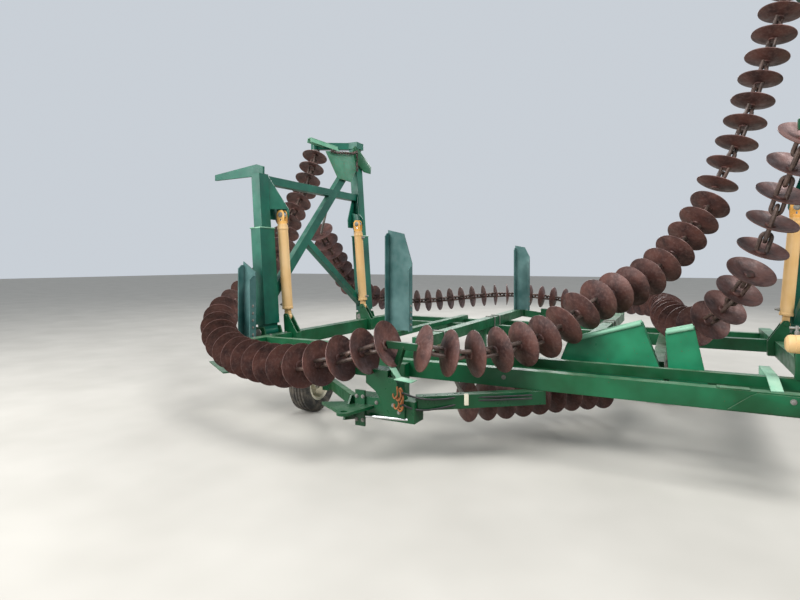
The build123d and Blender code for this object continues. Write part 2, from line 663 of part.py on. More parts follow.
# Plate arms that point outboard from the rear posts' tops
ARM_REACH = 3540.0
write_bar = both_sides("outboard_arm")
with BuildPart() as outboard_arm:
    root_low = wing_point(0, REAR_POST_Y, REAR_ARM_TOP)
    with BuildSketch(Plane.XZ.offset(-REAR_POST_Y)):
        with BuildLine():
            Polyline(
                (root_low[0] - 60, root_low[2] - 20), (root_low[0] - 60, root_low[2] + 90),
                (root_low[0] + 40, root_low[2] + 120), (ARM_REACH, root_low[2] + 40), (ARM_REACH, root_low[2] - 30),
                (root_low[0] + 60, root_low[2] - 20),
                close=True,
            )
        make_face()
    extrude(amount=15, both=True)
    add(rear_post.part, mode=Mode.SUBTRACT)
write_bar(outboard_arm)

# Disc runs: points along each hanging line (x, y, z)
LEFT_REAR_LOW = (
    REAR_JUNCTION[0], (-1100, -3830, 760), (-1860, -3640, 690), (-2450, -3420, 735), (-2790, -3220, 845),
    (-3020, -2990, 960), (-3130, -2790, 1050),
)
LEFT_REAR_HIGH = (
    (-3170, -2590, 1135), (-3195, -2340, 1270), (-3190, -1950, 1500), (-3240, -1650, 1800), (-3320, -1420, 2160),
    (-3345, -1060, 2620), (HUB_LEFT[0], HUB_LEFT[1], HUB_LEFT[2] - 80),
)
RIGHT_REAR_LOW = (
    REAR_JUNCTION[1], (90, -3400, 870), (385, -3150, 915), (660, -2840, 1020), (900, -2560, 1235), (1180, -2176, 1375),
    (1410, -1890, 1540), (1650, -1595, 1840), (1800, -1430, 2070), (1855, -1370, 2160),
)
RIGHT_REAR_HIGH = (
    (1925, -1305, 2365), (2025, -1286, 2590), (2165, -1262, 2963), (2337, -1246, 3532),
    (HUB_RIGHT[0], HUB_RIGHT[1], HUB_RIGHT[2] - 80),
)
LEFT_FRONT = (
    (-FRONT_JUNCTION[0], FRONT_JUNCTION[1], FRONT_JUNCTION[2]), (-1170, 2180, 1030), (-2100, 1600, 960),
    (-2700, 1050, 940), (-3060, 600, 1020), (-3140, 190, 1150),
)
LEFT_FRONT_HIGH = ((-3150, -10, 1240), (-3138, -250, 1410), (-3125, -480, 1620), (-3110, -710, 1835), HOOK_LEFT)
RIGHT_FRONT = (
    FRONT_JUNCTION, (1170, 1500, 990), (1480, 0, 1000), (1560, -1200, 1000), (1780, -1750, 1030), (2060, -2100, 1380),
    (2122, -2195, 1515),
)
RIGHT_FRONT_HIGH = (
    (2190, -2300, 1700), (2340, -2500, 2250), (HANGER_RIGHT[0], HANGER_RIGHT[1], HANGER_RIGHT[2] - 20),
)
UNDER = ((-100, -2940, 375), (150, -2600, 350), (500, -2100, 330), (870, -1650, 310))
left_rear_run = make_run("left_rear_discs", LEFT_REAR_LOW)
left_wing_run = make_run("left_wing_discs", LEFT_REAR_HIGH)
right_rear_run = make_run("right_rear_discs", RIGHT_REAR_LOW)
right_wing_run = make_run("right_wing_discs", RIGHT_REAR_HIGH)
left_front_run = make_run("left_front_discs", LEFT_FRONT)
left_hook_run = make_run("left_wing_front_discs", LEFT_FRONT_HIGH)
right_front_run = make_run("right_front_discs", RIGHT_FRONT)
right_hanger_run = make_run("right_wing_front_discs", RIGHT_FRONT_HIGH)
under_run = make_run("under_discs", UNDER)


def stem(top, foot, *runs):
    """Round stem between a carrier and the last disc of a run, cut back to the disc's face."""
    with BuildSketch(bar_plane(top, foot, up=(0, 1, 0))) as section:
        Circle(STEM_R)
    extrude(section.sketch, amount=(Vector(*foot) - Vector(*top)).length)
    for run in runs:
        add(run.part, mode=Mode.SUBTRACT)


def keep_largest(piece, count=1):
    """The largest solids of a piece, without the slivers that a cut leaves behind a disc."""
    solids = sorted(piece.part.solids(), key=lambda solid: -solid.volume)
    with BuildPart() as kept:
        add(solids[:count])
    return kept


# Wing tips: block on the front post's top, and the arm out to the hub that holds the discs
with BuildPart() as left_tip_arm:
    bar((-tip[0] - 10, FRONT_POST_Y, tip[2] + 50), (HUB_LEFT[0], HUB_LEFT[1], HUB_LEFT[2] + 60), 90, 100)
    with Locations((-tip[0], FRONT_POST_Y, tip[2] + 50)):
        Box(190, 190, 100)
    with BuildSketch(Plane.XY.offset(HUB_LEFT[2] - 40)):
        with Locations((HUB_LEFT[0], HUB_LEFT[1])):
            Circle(60)
    extrude(amount=150)
    stem(HUB_LEFT, LEFT_REAR_HIGH[-1], left_wing_run)
    add(mirror(front_post.part, about=Plane.YZ), mode=Mode.SUBTRACT)
save(left_tip_arm, "left_tip_arm")

with BuildPart() as right_tip_arm:
    mast_top = (tip[0], FRONT_POST_Y, HUB_RIGHT[2] + 85)
    bar((tip[0], FRONT_POST_Y, tip[2] + 40), mast_top, 90, 100, up=(0, 1, 0))
    bar((tip[0], FRONT_POST_Y, HUB_RIGHT[2] + 40), (HUB_RIGHT[0], HUB_RIGHT[1], HUB_RIGHT[2] + 40), 80, 90)
    with Locations((tip[0], FRONT_POST_Y, tip[2] + 50)):
        Box(190, 190, 100)
    with BuildSketch(Plane.XY.offset(HUB_RIGHT[2] - 40)):
        with Locations((HUB_RIGHT[0], HUB_RIGHT[1])):
            Circle(60)
    extrude(amount=150)
    stem(HUB_RIGHT, RIGHT_REAR_HIGH[-1], right_wing_run)
    add(front_post.part, mode=Mode.SUBTRACT)
save(right_tip_arm, "right_tip_arm")

# Arm on the right rear post's top that holds the near right run
with BuildPart() as right_hanger:
    post_top = wing_point(0, REAR_POST_Y, REAR_ARM_TOP)
    hanger_y = REAR_POST_Y - ARM_L / 2 - 15
    bar(
        (post_top[0] + 45, hanger_y, HANGER_RIGHT[2] + 75), (HANGER_RIGHT[0] - 45, hanger_y, HANGER_RIGHT[2] + 75),
        30, 80,
    )
    stem((HANGER_RIGHT[0], HANGER_RIGHT[1], HANGER_RIGHT[2] + 100), RIGHT_FRONT_HIGH[-1], right_hanger_run)
    add(rear_post.part, mode=Mode.SUBTRACT)
    add(outboard_arm.part, mode=Mode.SUBTRACT)
save(right_hanger, "right_hanger")

# Hook rod on the left diagonal that holds the far left run
with BuildPart() as left_hook:
    stem(HOOK_ROOT, HOOK_LEFT, left_hook_run)
    add(mirror(wing_diagonal.part, about=Plane.YZ), mode=Mode.SUBTRACT)
    with Locations((HOOK_ROOT[0] + 130, HOOK_ROOT[1], HOOK_ROOT[2] + 70)):
        Box(200, 600, 200, mode=Mode.SUBTRACT)
save(keep_largest(left_hook), "left_hook")

# Rear junction: a slanted neck on the tail box, its cap, and a post that holds the link between the rear runs
NECK_OUTLINE = (   # dx from the tail's x, dz from the box's middle
    (137, -50), (320, -50), (322, 20), (250, 225), (230, 260), (-30, 260), (-30, 200), (60, 140), (100, 85),
)
NECK_L = 90.0
NECK_T = 14.0
NECK_CAP_X = 20.0
NECK_CAP_Z = 690.0
NECK_CAP_W = 300.0
NECK_CAP_L = 170.0
NECK_CAP_H = 58.0
with BuildPart() as rear_junction:
    with BuildSketch(Plane.XZ.offset(-(tail_rear + NECK_L))):
        with BuildLine():
            Polyline(*[(TAIL_X + dx, TAIL_Z + dz) for dx, dz in NECK_OUTLINE], close=True)
        make_face()
    extrude(amount=NECK_L + NECK_T)
    with Locations((TAIL_X + NECK_CAP_X, tail_rear + NECK_CAP_L / 2 - NECK_T, NECK_CAP_Z + NECK_CAP_H / 2)):
        Box(NECK_CAP_W, NECK_CAP_L, NECK_CAP_H)
    middle = (Vector(*REAR_JUNCTION[0]) + Vector(*REAR_JUNCTION[1])) / 2
    bar(REAR_JUNCTION[0], REAR_JUNCTION[1], LINK_W + 14, LINK_W + 14)
    bar((TAIL_X + 190, TAIL_Y - 30, NECK_CAP_Z + 10), (middle.X, middle.Y, middle.Z), 40, 60, up=(0, 1, 0))
    add(left_rear_run.part, mode=Mode.SUBTRACT)
    add(right_rear_run.part, mode=Mode.SUBTRACT)
    add(tail_box.part, mode=Mode.SUBTRACT)
save(keep_largest(rear_junction), "rear_junction")

# Front junction: a cross tube on the drawbar legs with a post that holds both front runs
with BuildPart() as front_junction:
    with Locations((0, FRONT_JUNCTION[1], BEAM_TOP + 40)):
        Box(2 * SPINE_X - 410, 90, 80)
    with Locations((0, FRONT_JUNCTION[1], (BEAM_TOP + 80 + FRONT_JUNCTION[2] + 40) / 2)):
        Box(60, 60, FRONT_JUNCTION[2] + 40 - BEAM_TOP - 80)
    with Locations((0, FRONT_JUNCTION[1], FRONT_JUNCTION[2])):
        Box(2 * FRONT_JUNCTION[0], 50, 50)
    add(left_front_run.part, mode=Mode.SUBTRACT)
    add(right_front_run.part, mode=Mode.SUBTRACT)
    add(drawbar_legs.part, mode=Mode.SUBTRACT)
save(keep_largest(front_junction), "front_junction")

# Hangers of the low run
with BuildPart() as under_hangers:
    stem((UNDER[0][0] - 60, REAR_BEAM_Y, BEAM_TOP - BEAM_H + 30), UNDER[0], under_run)
    stem((SPINE_X, UNDER[-1][1] + 60, BEAM_TOP + 30), UNDER[-1], under_run)
    add(cross_beams.part, mode=Mode.SUBTRACT)
    add(long_beams.part, mode=Mode.SUBTRACT)
save(keep_largest(under_hangers, 2), "under_hangers")
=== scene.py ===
"""Looks of the folded disc chain harrow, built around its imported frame.

The frame's tubes and plates keep their solids and get weathered paint. The discs, links, tyres,
bolts, collars and trim are meshes made here, in metres, in the frame's own axes.
"""
import json
import math

import bmesh
import bpy
from mathutils import Euler, Matrix, Vector


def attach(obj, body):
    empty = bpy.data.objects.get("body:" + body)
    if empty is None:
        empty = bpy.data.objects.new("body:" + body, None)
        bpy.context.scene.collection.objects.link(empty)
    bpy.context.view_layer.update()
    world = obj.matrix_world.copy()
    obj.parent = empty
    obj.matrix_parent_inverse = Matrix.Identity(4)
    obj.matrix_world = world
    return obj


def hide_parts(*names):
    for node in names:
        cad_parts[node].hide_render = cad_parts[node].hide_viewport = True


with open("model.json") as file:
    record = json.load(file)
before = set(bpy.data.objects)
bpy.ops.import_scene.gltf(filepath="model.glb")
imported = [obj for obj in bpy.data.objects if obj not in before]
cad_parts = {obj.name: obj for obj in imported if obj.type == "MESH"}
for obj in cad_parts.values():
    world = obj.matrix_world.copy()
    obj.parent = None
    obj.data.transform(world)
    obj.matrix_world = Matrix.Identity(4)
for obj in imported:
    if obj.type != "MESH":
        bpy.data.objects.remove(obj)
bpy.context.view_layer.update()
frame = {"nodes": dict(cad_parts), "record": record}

bl_info = {
    "name": "Folded disc chain harrow",
    "version": (1, 0, 0),
    "blender": (4, 5, 0),
    "location": "View3D > Sidebar > Harrow",
    "description": "Builds the looks of a folded disc chain harrow around its frame",
    "category": "Add Mesh",
}

# Places that the frame shares with this file, in metres
HINGE = (2.7, 0.8)
LEAN = math.radians(4.0)
REAR_POST_Y = -2.55
FRONT_POST_Y = -0.35
REAR_BEAM_Y = -3.05
SIDE_X = 2.55
SIDE_TOP = 0.78
BEAM_TOP = 0.72
SPINE_X = 0.78
HUB_LEFT = (-3.35, -0.74, 3.32)
HUB_RIGHT = (2.512, -1.243, 4.257)
PITCH = 0.21
TURNS = 40                 # faces around a disc

# Each run: node, body, and points along its hanging line
RUNS = (
    ("left_rear_discs", "frame", (
        (-0.47, -3.73, 0.955), (-1.1, -3.83, 0.76), (-1.86, -3.64, 0.69), (-2.45, -3.42, 0.735),
        (-2.79, -3.22, 0.845), (-3.02, -2.99, 0.96), (-3.13, -2.79, 1.05))),
    ("left_wing_discs", "left_wing", (
        (-3.17, -2.59, 1.135), (-3.195, -2.34, 1.27), (-3.19, -1.95, 1.5), (-3.24, -1.65, 1.8),
        (-3.32, -1.42, 2.16), (-3.345, -1.06, 2.62), (-3.35, -0.74, 3.24))),
    ("right_rear_discs", "frame", (
        (-0.22, -3.625, 0.93), (0.09, -3.4, 0.87), (0.385, -3.15, 0.915), (0.66, -2.84, 1.02),
        (0.9, -2.56, 1.235), (1.18, -2.176, 1.375), (1.41, -1.89, 1.54), (1.65, -1.595, 1.84),
        (1.8, -1.43, 2.07), (1.855, -1.37, 2.16))),
    ("right_wing_discs", "right_wing", (
        (1.925, -1.305, 2.365), (2.025, -1.286, 2.59), (2.165, -1.262, 2.963), (2.337, -1.246, 3.532),
        (2.512, -1.243, 4.177))),
    ("left_front_discs", "frame", (
        (-0.15, 2.15, 0.97), (-1.17, 2.18, 1.03), (-2.1, 1.6, 0.96), (-2.7, 1.05, 0.94),
        (-3.06, 0.6, 1.02), (-3.14, 0.19, 1.15))),
    ("left_wing_front_discs", "left_wing", (
        (-3.15, -0.01, 1.24), (-3.138, -0.25, 1.41), (-3.125, -0.48, 1.62), (-3.11, -0.71, 1.835),
        (-3.1, -0.93, 2.045))),
    ("right_front_discs", "frame", (
        (0.15, 2.15, 0.97), (1.17, 1.5, 0.99), (1.48, 0.0, 1.000), (1.56, -1.2, 1.000),
        (1.78, -1.75, 1.03), (2.06, -2.1, 1.38), (2.122, -2.195, 1.515))),
    ("right_wing_front_discs", "right_wing", (
        (2.19, -2.3, 1.7), (2.34, -2.5, 2.25), (2.42, -2.64, 2.52))),
    ("under_discs", "frame", (
        (-0.1, -2.94, 0.375), (0.15, -2.6, 0.35), (0.5, -2.1, 0.33), (0.87, -1.65, 0.31))),
)

# Runs whose discs turn their hollow side back towards the run's start
HOLLOW_TOWARDS_START = ("left_rear_discs", "left_wing_discs")

# Discs hang askew on slack links: degrees about X, Y and Z, and the share of them left at the run's end
SLACK = {
    "left_rear_discs": (0, 0, -18, 0.0), "right_rear_discs": (0, 0, 10, 0.0),
    "right_wing_discs": (-9, -5, 0, 1.0), "right_wing_front_discs": (8, 4, 0, 1.0),
}

# Wheels: name, centre, radius, width
WHEELS = (
    ("left_wheel", (-1.5, -0.45, 0.33), 0.33, 0.26),
    ("right_wheel", (1.5, -0.45, 0.33), 0.33, 0.26),
    ("tail_wheel", (-1.95, -2.7, 0.3), 0.3, 0.23),
)

COLUMN_TOP = 1.216         # up the wing, where a post's wider foot ends

# Wing cylinders: lower pin, upper eye along and inboard of the wing, offset from each post, barrel and rod
CYL_BASE = (2.59, 0.96)
CYL_EYE_UP = 1.38
CYL_EYE_IN = 0.11
CYL_OFFSET_Y = 0.23
BARREL_R = 0.062
BARREL_START = 0.092
BARREL_END = 1.102
ROD_R = 0.032

# Plates on a wing: along the machine and up the wing, then the gussets' from a post towards the middle
TIP_WEB = ((-1.255, 2.367), (-0.45, 2.5), (-0.4, 2.3), (-0.64, 2.01), (-0.985, 2.02))
TIP_PIN = (-0.455, 2.49)
GUSSET = ((0.076, 1.85), (0.1, 1.85), (0.292, 1.455), (0.292, 1.335), (0.17, 1.335), (0.076, 1.5))
GUSSET_WEB = ((0.06, 0.02, 1.86), (0.085, 0.042, 1.86), (0.283, 0.176, 1.445), (0.06, 0.02, 1.445))
# An ear's outline, inboard and up the wing, and its distance from the rod eye's middle
EAR = ((0.0, 1.315), (0.085, 1.305), (0.155, 1.325), (0.18, 1.375), (0.18, 1.45),
       (0.13, 1.52), (0.0, 1.56))
EAR_SHIFT = 0.047
CLEVIS = ((-0.052, -0.105), (0.052, -0.105), (0.058, -0.03), (0.054, 0.026), (0.03, 0.056), (-0.03, 0.056),
          (-0.054, 0.026), (-0.058, -0.03))
CLEVIS_SHIFT = 0.028
PIN_HEAD = ((0.0, 0.0), (0.03, 0.0), (0.03, 0.006), (0.02, 0.008), (0.02, 0.016), (0.016, 0.019),
            (0.0, 0.019))
BUSH = ((0.0, 0.024), (0.034, 0.024), (0.034, 0.031), (0.032, 0.0335), (0.0, 0.0335))
WING_MIDDLE_Y = -1.5
# A port's nut and its stem: radius, and distance from the barrel's face
PORT_NUT = ((0.0, -0.006), (0.02, -0.006), (0.02, 0.018), (0.0, 0.018))
PORT_STEM = ((0.0, 0.017), (0.012, 0.017), (0.012, 0.04), (0.009, 0.044), (0.0, 0.044))

# The tail's pipes: how far each is lifted off its line, and the line; they go on along the strut
PIPES = (
    (0.03, ((-0.3, -3.79, 0.57), (-0.205, -3.7, 0.52), (-0.06, -3.6, 0.505), (0.06, -3.47, 0.512))),
    (-0.012, ((-0.3, -3.79, 0.52), (-0.215, -3.7, 0.47), (-0.06, -3.6, 0.478), (0.06, -3.47, 0.5))),
)
PIPE_R = 0.0075

# The camera's place and heading, as the sine and cosine of its turn; lights: name, place, aim, watts, size
CAMERA_PLACE = (1.615, -7.53, 1.6)
CAMERA_HEADING = (0.459, 0.889)
CAMERA_SHIFT = -0.046
LIGHTS = (
    ("key_light", (8.0, -4.0, 11.0), (0, -1.0, 1.5), 1500.0, 5.0),
    ("fill_light", (-6.0, -11.0, 6.0), (0, -1.0, 1.5), 1800.0, 7.0),
    ("back_light", (-3.0, 10.0, 9.0), (0, 0, 1.5), 1100.0, 6.0),
)
RUST = "#5b3623"
SHARP_ANGLE = math.radians(35)
HINGE_PIN_HALF = 0.166
ACCUMULATOR = (2.285, -2.815, 1.026)


def linear(hex_colour):
    """An sRGB hex colour as the linear values that Blender takes."""
    parts = [int(hex_colour[i:i + 2], 16) / 255 for i in (1, 3, 5)]
    return tuple(c / 12.92 if c <= 0.04045 else ((c + 0.055) / 1.055) ** 2.4 for c in parts) + (1.0,)


def add_node(tree, kind, settings=None, inputs=None):
    """One shader node; a value in inputs is either a setting or the output it is linked from."""
    node = tree.nodes.new(kind)
    for key, value in (settings or {}).items():
        setattr(node, key, value)
    for key, value in (inputs or {}).items():
        if isinstance(value, bpy.types.NodeSocket):
            tree.links.new(value, node.inputs[key])
        else:
            node.inputs[key].default_value = value
    return node


def ramp(tree, source, stops):
    node = add_node(tree, "ShaderNodeValToRGB", inputs={"Fac": source})
    elements = node.color_ramp.elements
    while len(elements) < len(stops):
        elements.new(0.5)
    for element, (place, colour) in zip(elements, stops):
        element.position = place
        element.color = colour
    return node.outputs["Color"]


def grey_ramp(tree, source, low, high):
    """A ramp between two greys, each given as its place and value."""
    return ramp(tree, source, [(place, (value, value, value, 1.0)) for place, value in (low, high)])


def noise(tree, coords, size_mm, detail=4.0, rough=0.6):
    """Noise whose blotches are about size_mm across."""
    node = add_node(tree, "ShaderNodeTexNoise", inputs={
        "Vector": coords, "Scale": 1000.0 / size_mm, "Detail": detail, "Roughness": rough})
    return node.outputs["Fac"]


def mix_colour(tree, factor, first, second):
    node = add_node(tree, "ShaderNodeMix", {"data_type": "RGBA"}, {"Factor": factor, 6: first, 7: second})
    return node.outputs[2]


def start_material(name, settings):
    material = bpy.data.materials.new(name)
    material.use_nodes = True
    tree = material.node_tree
    shader = tree.nodes["Principled BSDF"]
    for key, value in settings.items():
        shader.inputs[key].default_value = value
    coords = add_node(tree, "ShaderNodeTexCoord").outputs["Object"]
    return material, tree, shader, coords


def bump(tree, shader, height, strength, distance_mm, base=None):
    inputs = {"Height": height, "Strength": strength, "Distance": distance_mm / 1000.0}
    if base is not None:
        inputs["Normal"] = base
    node = add_node(tree, "ShaderNodeBump", inputs=inputs)
    tree.links.new(node.outputs["Normal"], shader.inputs["Normal"])


def worn_enamel(name, paint, faded, dust, rust, rough=0.36, chips=0.67, top_dust_and_light_share=0.34):
    """Sprayed machinery enamel on steel: it fades in patches, holds dust on its upper faces, which are
    also painted lighter as sunlit tops, and chips to brown rust in small spots, most of them near its edges."""
    material, tree, shader, coords = start_material(name, {
        "Roughness": rough, "IOR": 1.5, "Specular IOR Level": 0.36})
    patches = grey_ramp(tree, noise(tree, coords, 420, 3), (0.35, 0.0), (0.72, 1.0))
    base = mix_colour(tree, patches, linear(paint), linear(faded))
    round_normal = add_node(tree, "ShaderNodeBevel", {"samples": 4}, {"Radius": 0.006}).outputs["Normal"]
    normal = add_node(tree, "ShaderNodeNewGeometry").outputs["Normal"]
    match = add_node(tree, "ShaderNodeVectorMath", {"operation": "DOT_PRODUCT"}, {0: round_normal, 1: normal})
    edge = grey_ramp(tree, match.outputs["Value"], (0.8, 1.0), (0.995, 0.0))
    speck = noise(tree, coords, 14, 6, 0.7)
    reach = add_node(tree, "ShaderNodeMath", {"operation": "MULTIPLY_ADD"}, {0: edge, 1: 0.16, 2: speck})
    chip = grey_ramp(tree, reach.outputs[0], (chips, 0.0), (chips + 0.03, 1.0))
    # Upward faces turn towards the dust colour: partly dust, partly painted sunlight on the tops
    up = add_node(tree, "ShaderNodeSeparateXYZ", inputs={0: normal}).outputs["Z"]
    level = grey_ramp(tree, up, (0.3, 0.0), (0.95, top_dust_and_light_share))
    cloud = grey_ramp(tree, noise(tree, coords, 160, 5), (0.35, 0.15), (0.75, 1.0))
    top_dust_and_light = add_node(tree, "ShaderNodeMath", {"operation": "MULTIPLY"}, {0: level, 1: cloud}).outputs[0]
    base = mix_colour(tree, top_dust_and_light, base, linear(dust))
    base = mix_colour(tree, chip, base, linear(rust))
    tree.links.new(base, shader.inputs["Base Color"])
    scuff = grey_ramp(tree, noise(tree, coords, 90, 5), (0.3, rough - 0.08), (0.8, rough + 0.22))
    tree.links.new(scuff, shader.inputs["Roughness"])
    bump(tree, shader, noise(tree, coords, 30, 4), 0.12, 1.5, round_normal)
    return material


def rusted_steel(name, brown, dark, light, grain_mm=22.0, rough=0.7):
    """Forged or rolled steel left bare outdoors: a thin even rust, darker in blotches, rubbed
    lighter where soil and hands have polished it."""
    material, tree, shader, coords = start_material(name, {"Roughness": rough, "Metallic": 0.25})
    blotch = grey_ramp(tree, noise(tree, coords, 130, 4), (0.34, 0.0), (0.68, 1.0))
    base = mix_colour(tree, blotch, linear(brown), linear(dark))
    grain = grey_ramp(tree, noise(tree, coords, grain_mm, 7, 0.7), (0.48, 0.0), (0.82, 0.55))
    base = mix_colour(tree, grain, base, linear(light))
    tree.links.new(base, shader.inputs["Base Color"])
    sheen = grey_ramp(tree, noise(tree, coords, 60, 4), (0.3, rough - 0.2), (0.7, rough + 0.12))
    tree.links.new(sheen, shader.inputs["Roughness"])
    bump(tree, shader, noise(tree, coords, 9, 5, 0.65), 0.3, 1.2)
    return material


def hard_chrome(name):
    """Ground and chromed cylinder rod: mirror bright, with a film of oil and dust."""
    material, tree, shader, coords = start_material(name, {
        "Base Color": linear("#c9cbcc"), "Metallic": 1.0, "Roughness": 0.14})
    film = grey_ramp(tree, noise(tree, coords, 50, 4), (0.3, 0.1), (0.8, 0.3))
    tree.links.new(film, shader.inputs["Roughness"])
    return material


def field_rubber(name):
    """Moulded tyre rubber: near black, greyed by dried soil that fills its ribs."""
    material, tree, shader, coords = start_material(name, {"Roughness": 0.82, "IOR": 1.5})
    soil = grey_ramp(tree, noise(tree, coords, 70, 6, 0.65), (0.42, 0.0), (0.75, 0.75))
    base = mix_colour(tree, soil, linear("#2b2a29"), linear("#7b7163"))
    tree.links.new(base, shader.inputs["Base Color"])
    bump(tree, shader, noise(tree, coords, 6, 4), 0.25, 0.8)
    return material


def black_pipe_enamel(name):
    """Black enamel on drawn steel pipe: smooth, with a dull shine and patches of dust."""
    material, tree, shader, coords = start_material(name, {"Roughness": 0.5, "IOR": 1.5})
    dust = grey_ramp(tree, noise(tree, coords, 35, 4), (0.5, 0.0), (0.8, 0.5))
    tree.links.new(mix_colour(tree, dust, linear("#141414"), linear("#4b463f")), shader.inputs["Base Color"])
    return material


class Finishes:
    """The object's materials, made once and then shared."""
    made = {}

    @classmethod
    def build(cls):
        colours = bpy.context.scene.harrow_colours
        # Each enamel's fourth colour is dust on its upper faces, and it also stands in as painted sunlight on
        # those tops
        enamels = {
            "green": ("green_machinery_enamel", colours.paint, colours.faded_paint, "#b4c6ac", RUST),
            "wing": ("green_machinery_enamel_cool", "#054538", "#13654f", "#a9bfb0", RUST),
            "deep": ("green_machinery_enamel_fresh", "#003a1b", "#05492a", "#8fa58c", RUST, 0.3, 0.7, 0.2),
            "sheet": ("green_machinery_enamel_scuffed", "#0d6240", "#238a60", "#a9c2a6", RUST, 0.34, 0.65),
            "aged": ("blue_green_enamel_sun_bleached", "#244f4c", "#587a77", "#9aa79b", RUST, 0.5, 0.66, 0.2),
            "bleached": ("pale_worn_enamel", "#5e9a7c", "#93bba2", "#b9c9b1", RUST, 0.5, 0.64),
            "cream": ("cream_cylinder_enamel", colours.cylinder, "#d9b685", "#cfb488", "#7a4a24",
                      0.4, 0.7, 0.2),
            "worn": ("green_enamel_rubbed_to_rust", "#2c6b4f", "#5f9a80", "#8fae97", "#7a4a3a", 0.45, 0.58),
            "clevis": ("orange_cylinder_end_enamel", "#d79a45", "#e8b76a", "#d9bd8d", "#6d4020",
                       0.42, 0.62, 0.2),
            "rim": ("cream_rim_enamel", "#cfc9b4", "#b9b29b", "#8f8570", "#6a4327", 0.45, 0.66),
        }
        steels = {
            "disc": ("rolled_disc_steel_rusted", colours.disc, "#3d2a28", "#8d726c", 26.0, 0.55),
            # Lighter steel for the discs' rim bands: a painted highlight along each rim
            "edge": ("disc_rim_painted_highlight", "#a08f84", "#6d5a52", "#c9bdb2", 18.0, 0.45),
            "link": ("forged_link_steel_rusted", "#5c4840", "#332b28", "#9b8676", 15.0, 0.6),
            "orange": ("loose_hook_steel_orange_rust", "#8a4f22", "#4c2d1a", "#c08a4a", 10.0, 0.7),
            "bolt": ("zinc_bolt_steel_dulled", "#8c8a84", "#5e5a54", "#b7b4ad", 12.0, 0.5),
        }
        cls.made = {finish: worn_enamel(*values) for finish, values in enamels.items()}
        cls.made.update({finish: rusted_steel(*values) for finish, values in steels.items()})
        cls.made["chrome"] = hard_chrome("hard_chrome_ground")
        cls.made["rubber"] = field_rubber("moulded_tyre_rubber")
        cls.made["pipe"] = black_pipe_enamel("black_enamel_drawn_steel_pipe")

    @classmethod
    def give(cls, obj, name):
        obj.data.materials.clear()
        obj.data.materials.append(cls.made[name])


# The record's slots and their finishes; a slot's first finish is the one its plain solids get
SLOT_FINISHES = {
    "green_paint": ("green", "wing", "deep", "sheet", "aged", "bleached", "worn"),
    "cylinder_paint": ("cream", "clevis"), "rim_paint": ("rim",), "disc_steel": ("disc", "edge", "link"),
    "bare_steel": ("bolt", "orange", "pipe"), "chrome_rod": ("chrome",), "tyre": ("rubber",),
}
# Nodes of the frame whose finish differs from the rest of their slot
NODE_FINISHES = {"guide_posts": "aged", "saddles": "sheet", "tail_box": "deep", "rear_junction": "deep"}
NODE_FINISHES.update({f"{side}_{part}": "wing" for side in ("left", "right") for part in (
    "rear_post", "front_post", "wing_diagonal", "wing_braces", "outboard_arm", "tip_arm")})


def finish_piece(bm, name, body, finish, replaces=(), accent=None):
    """Turn a bmesh into a piece of the scene that rides on a body; an accent is a second finish."""
    mesh = bpy.data.meshes.new(name)
    bmesh.ops.recalc_face_normals(bm, faces=bm.faces)
    bm.to_mesh(mesh)
    bm.free()
    obj = bpy.data.objects.new(name, mesh)
    bpy.context.scene.collection.objects.link(obj)
    mesh.shade_smooth()
    mesh.set_sharp_from_angle(angle=SHARP_ANGLE)
    Finishes.give(obj, finish)
    if accent:
        obj.data.materials.append(Finishes.made[accent])
    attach(obj, body)
    if replaces:
        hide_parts(*replaces)
    return obj


def facing(direction, roll=0.0):
    """Rotation that turns +Z to the direction."""
    return Vector(direction).to_track_quat("Z", "Y").to_matrix().to_4x4() @ Matrix.Rotation(roll, 4, "Z")


def aimed(point, direction, roll=0.0):
    """Place at the point whose +Z runs along the direction."""
    return Matrix.Translation(point) @ facing(direction, roll)


def oblong(x0, x1, y0, y1):
    """Corners of a rectangle, from its low left one round."""
    return ((x0, y0), (x1, y0), (x1, y1), (x0, y1))


def turned(bm, profile, place, turns=24, closed=False, accents=()):
    """Revolve (radius, height) pairs about place's own Z; the bands in accents get the second finish."""
    rings = []
    for radius, height in profile:
        if radius < 1e-6:
            rings.append([bm.verts.new(place @ Vector((0, 0, height)))])
            continue
        rings.append([bm.verts.new(place @ Vector((
            radius * math.cos(2 * math.pi * i / turns), radius * math.sin(2 * math.pi * i / turns), height)))
            for i in range(turns)])
    pairs = list(zip(rings, rings[1:]))
    if closed:
        pairs.append((rings[-1], rings[0]))
    for band, (low, high) in enumerate(pairs):
        for i in range(turns):
            j = (i + 1) % turns
            if len(low) == 1:
                face = bm.faces.new((low[0], high[j], high[i]))
            elif len(high) == 1:
                face = bm.faces.new((low[i], low[j], high[0]))
            else:
                face = bm.faces.new((low[i], low[j], high[j], high[i]))
            face.material_index = 1 if band in accents else 0


def plate(bm, outline, thickness, place, bevel=0.0):
    """Flat plate from a closed outline in place's XY, thickness along its Z, edges eased by bevel."""
    low = [bm.verts.new(place @ Vector((x, y, -thickness / 2))) for x, y in outline]
    high = [bm.verts.new(place @ Vector((x, y, thickness / 2))) for x, y in outline]
    faces = [bm.faces.new(low[::-1]), bm.faces.new(high)]
    count = len(outline)
    for i in range(count):
        j = (i + 1) % count
        faces.append(bm.faces.new((low[i], low[j], high[j], high[i])))
    if bevel > 0:
        edges = {edge for face in faces for edge in face.edges}
        bmesh.ops.bevel(bm, geom=list(edges), offset=bevel, segments=2, affect="EDGES", profile=0.5)


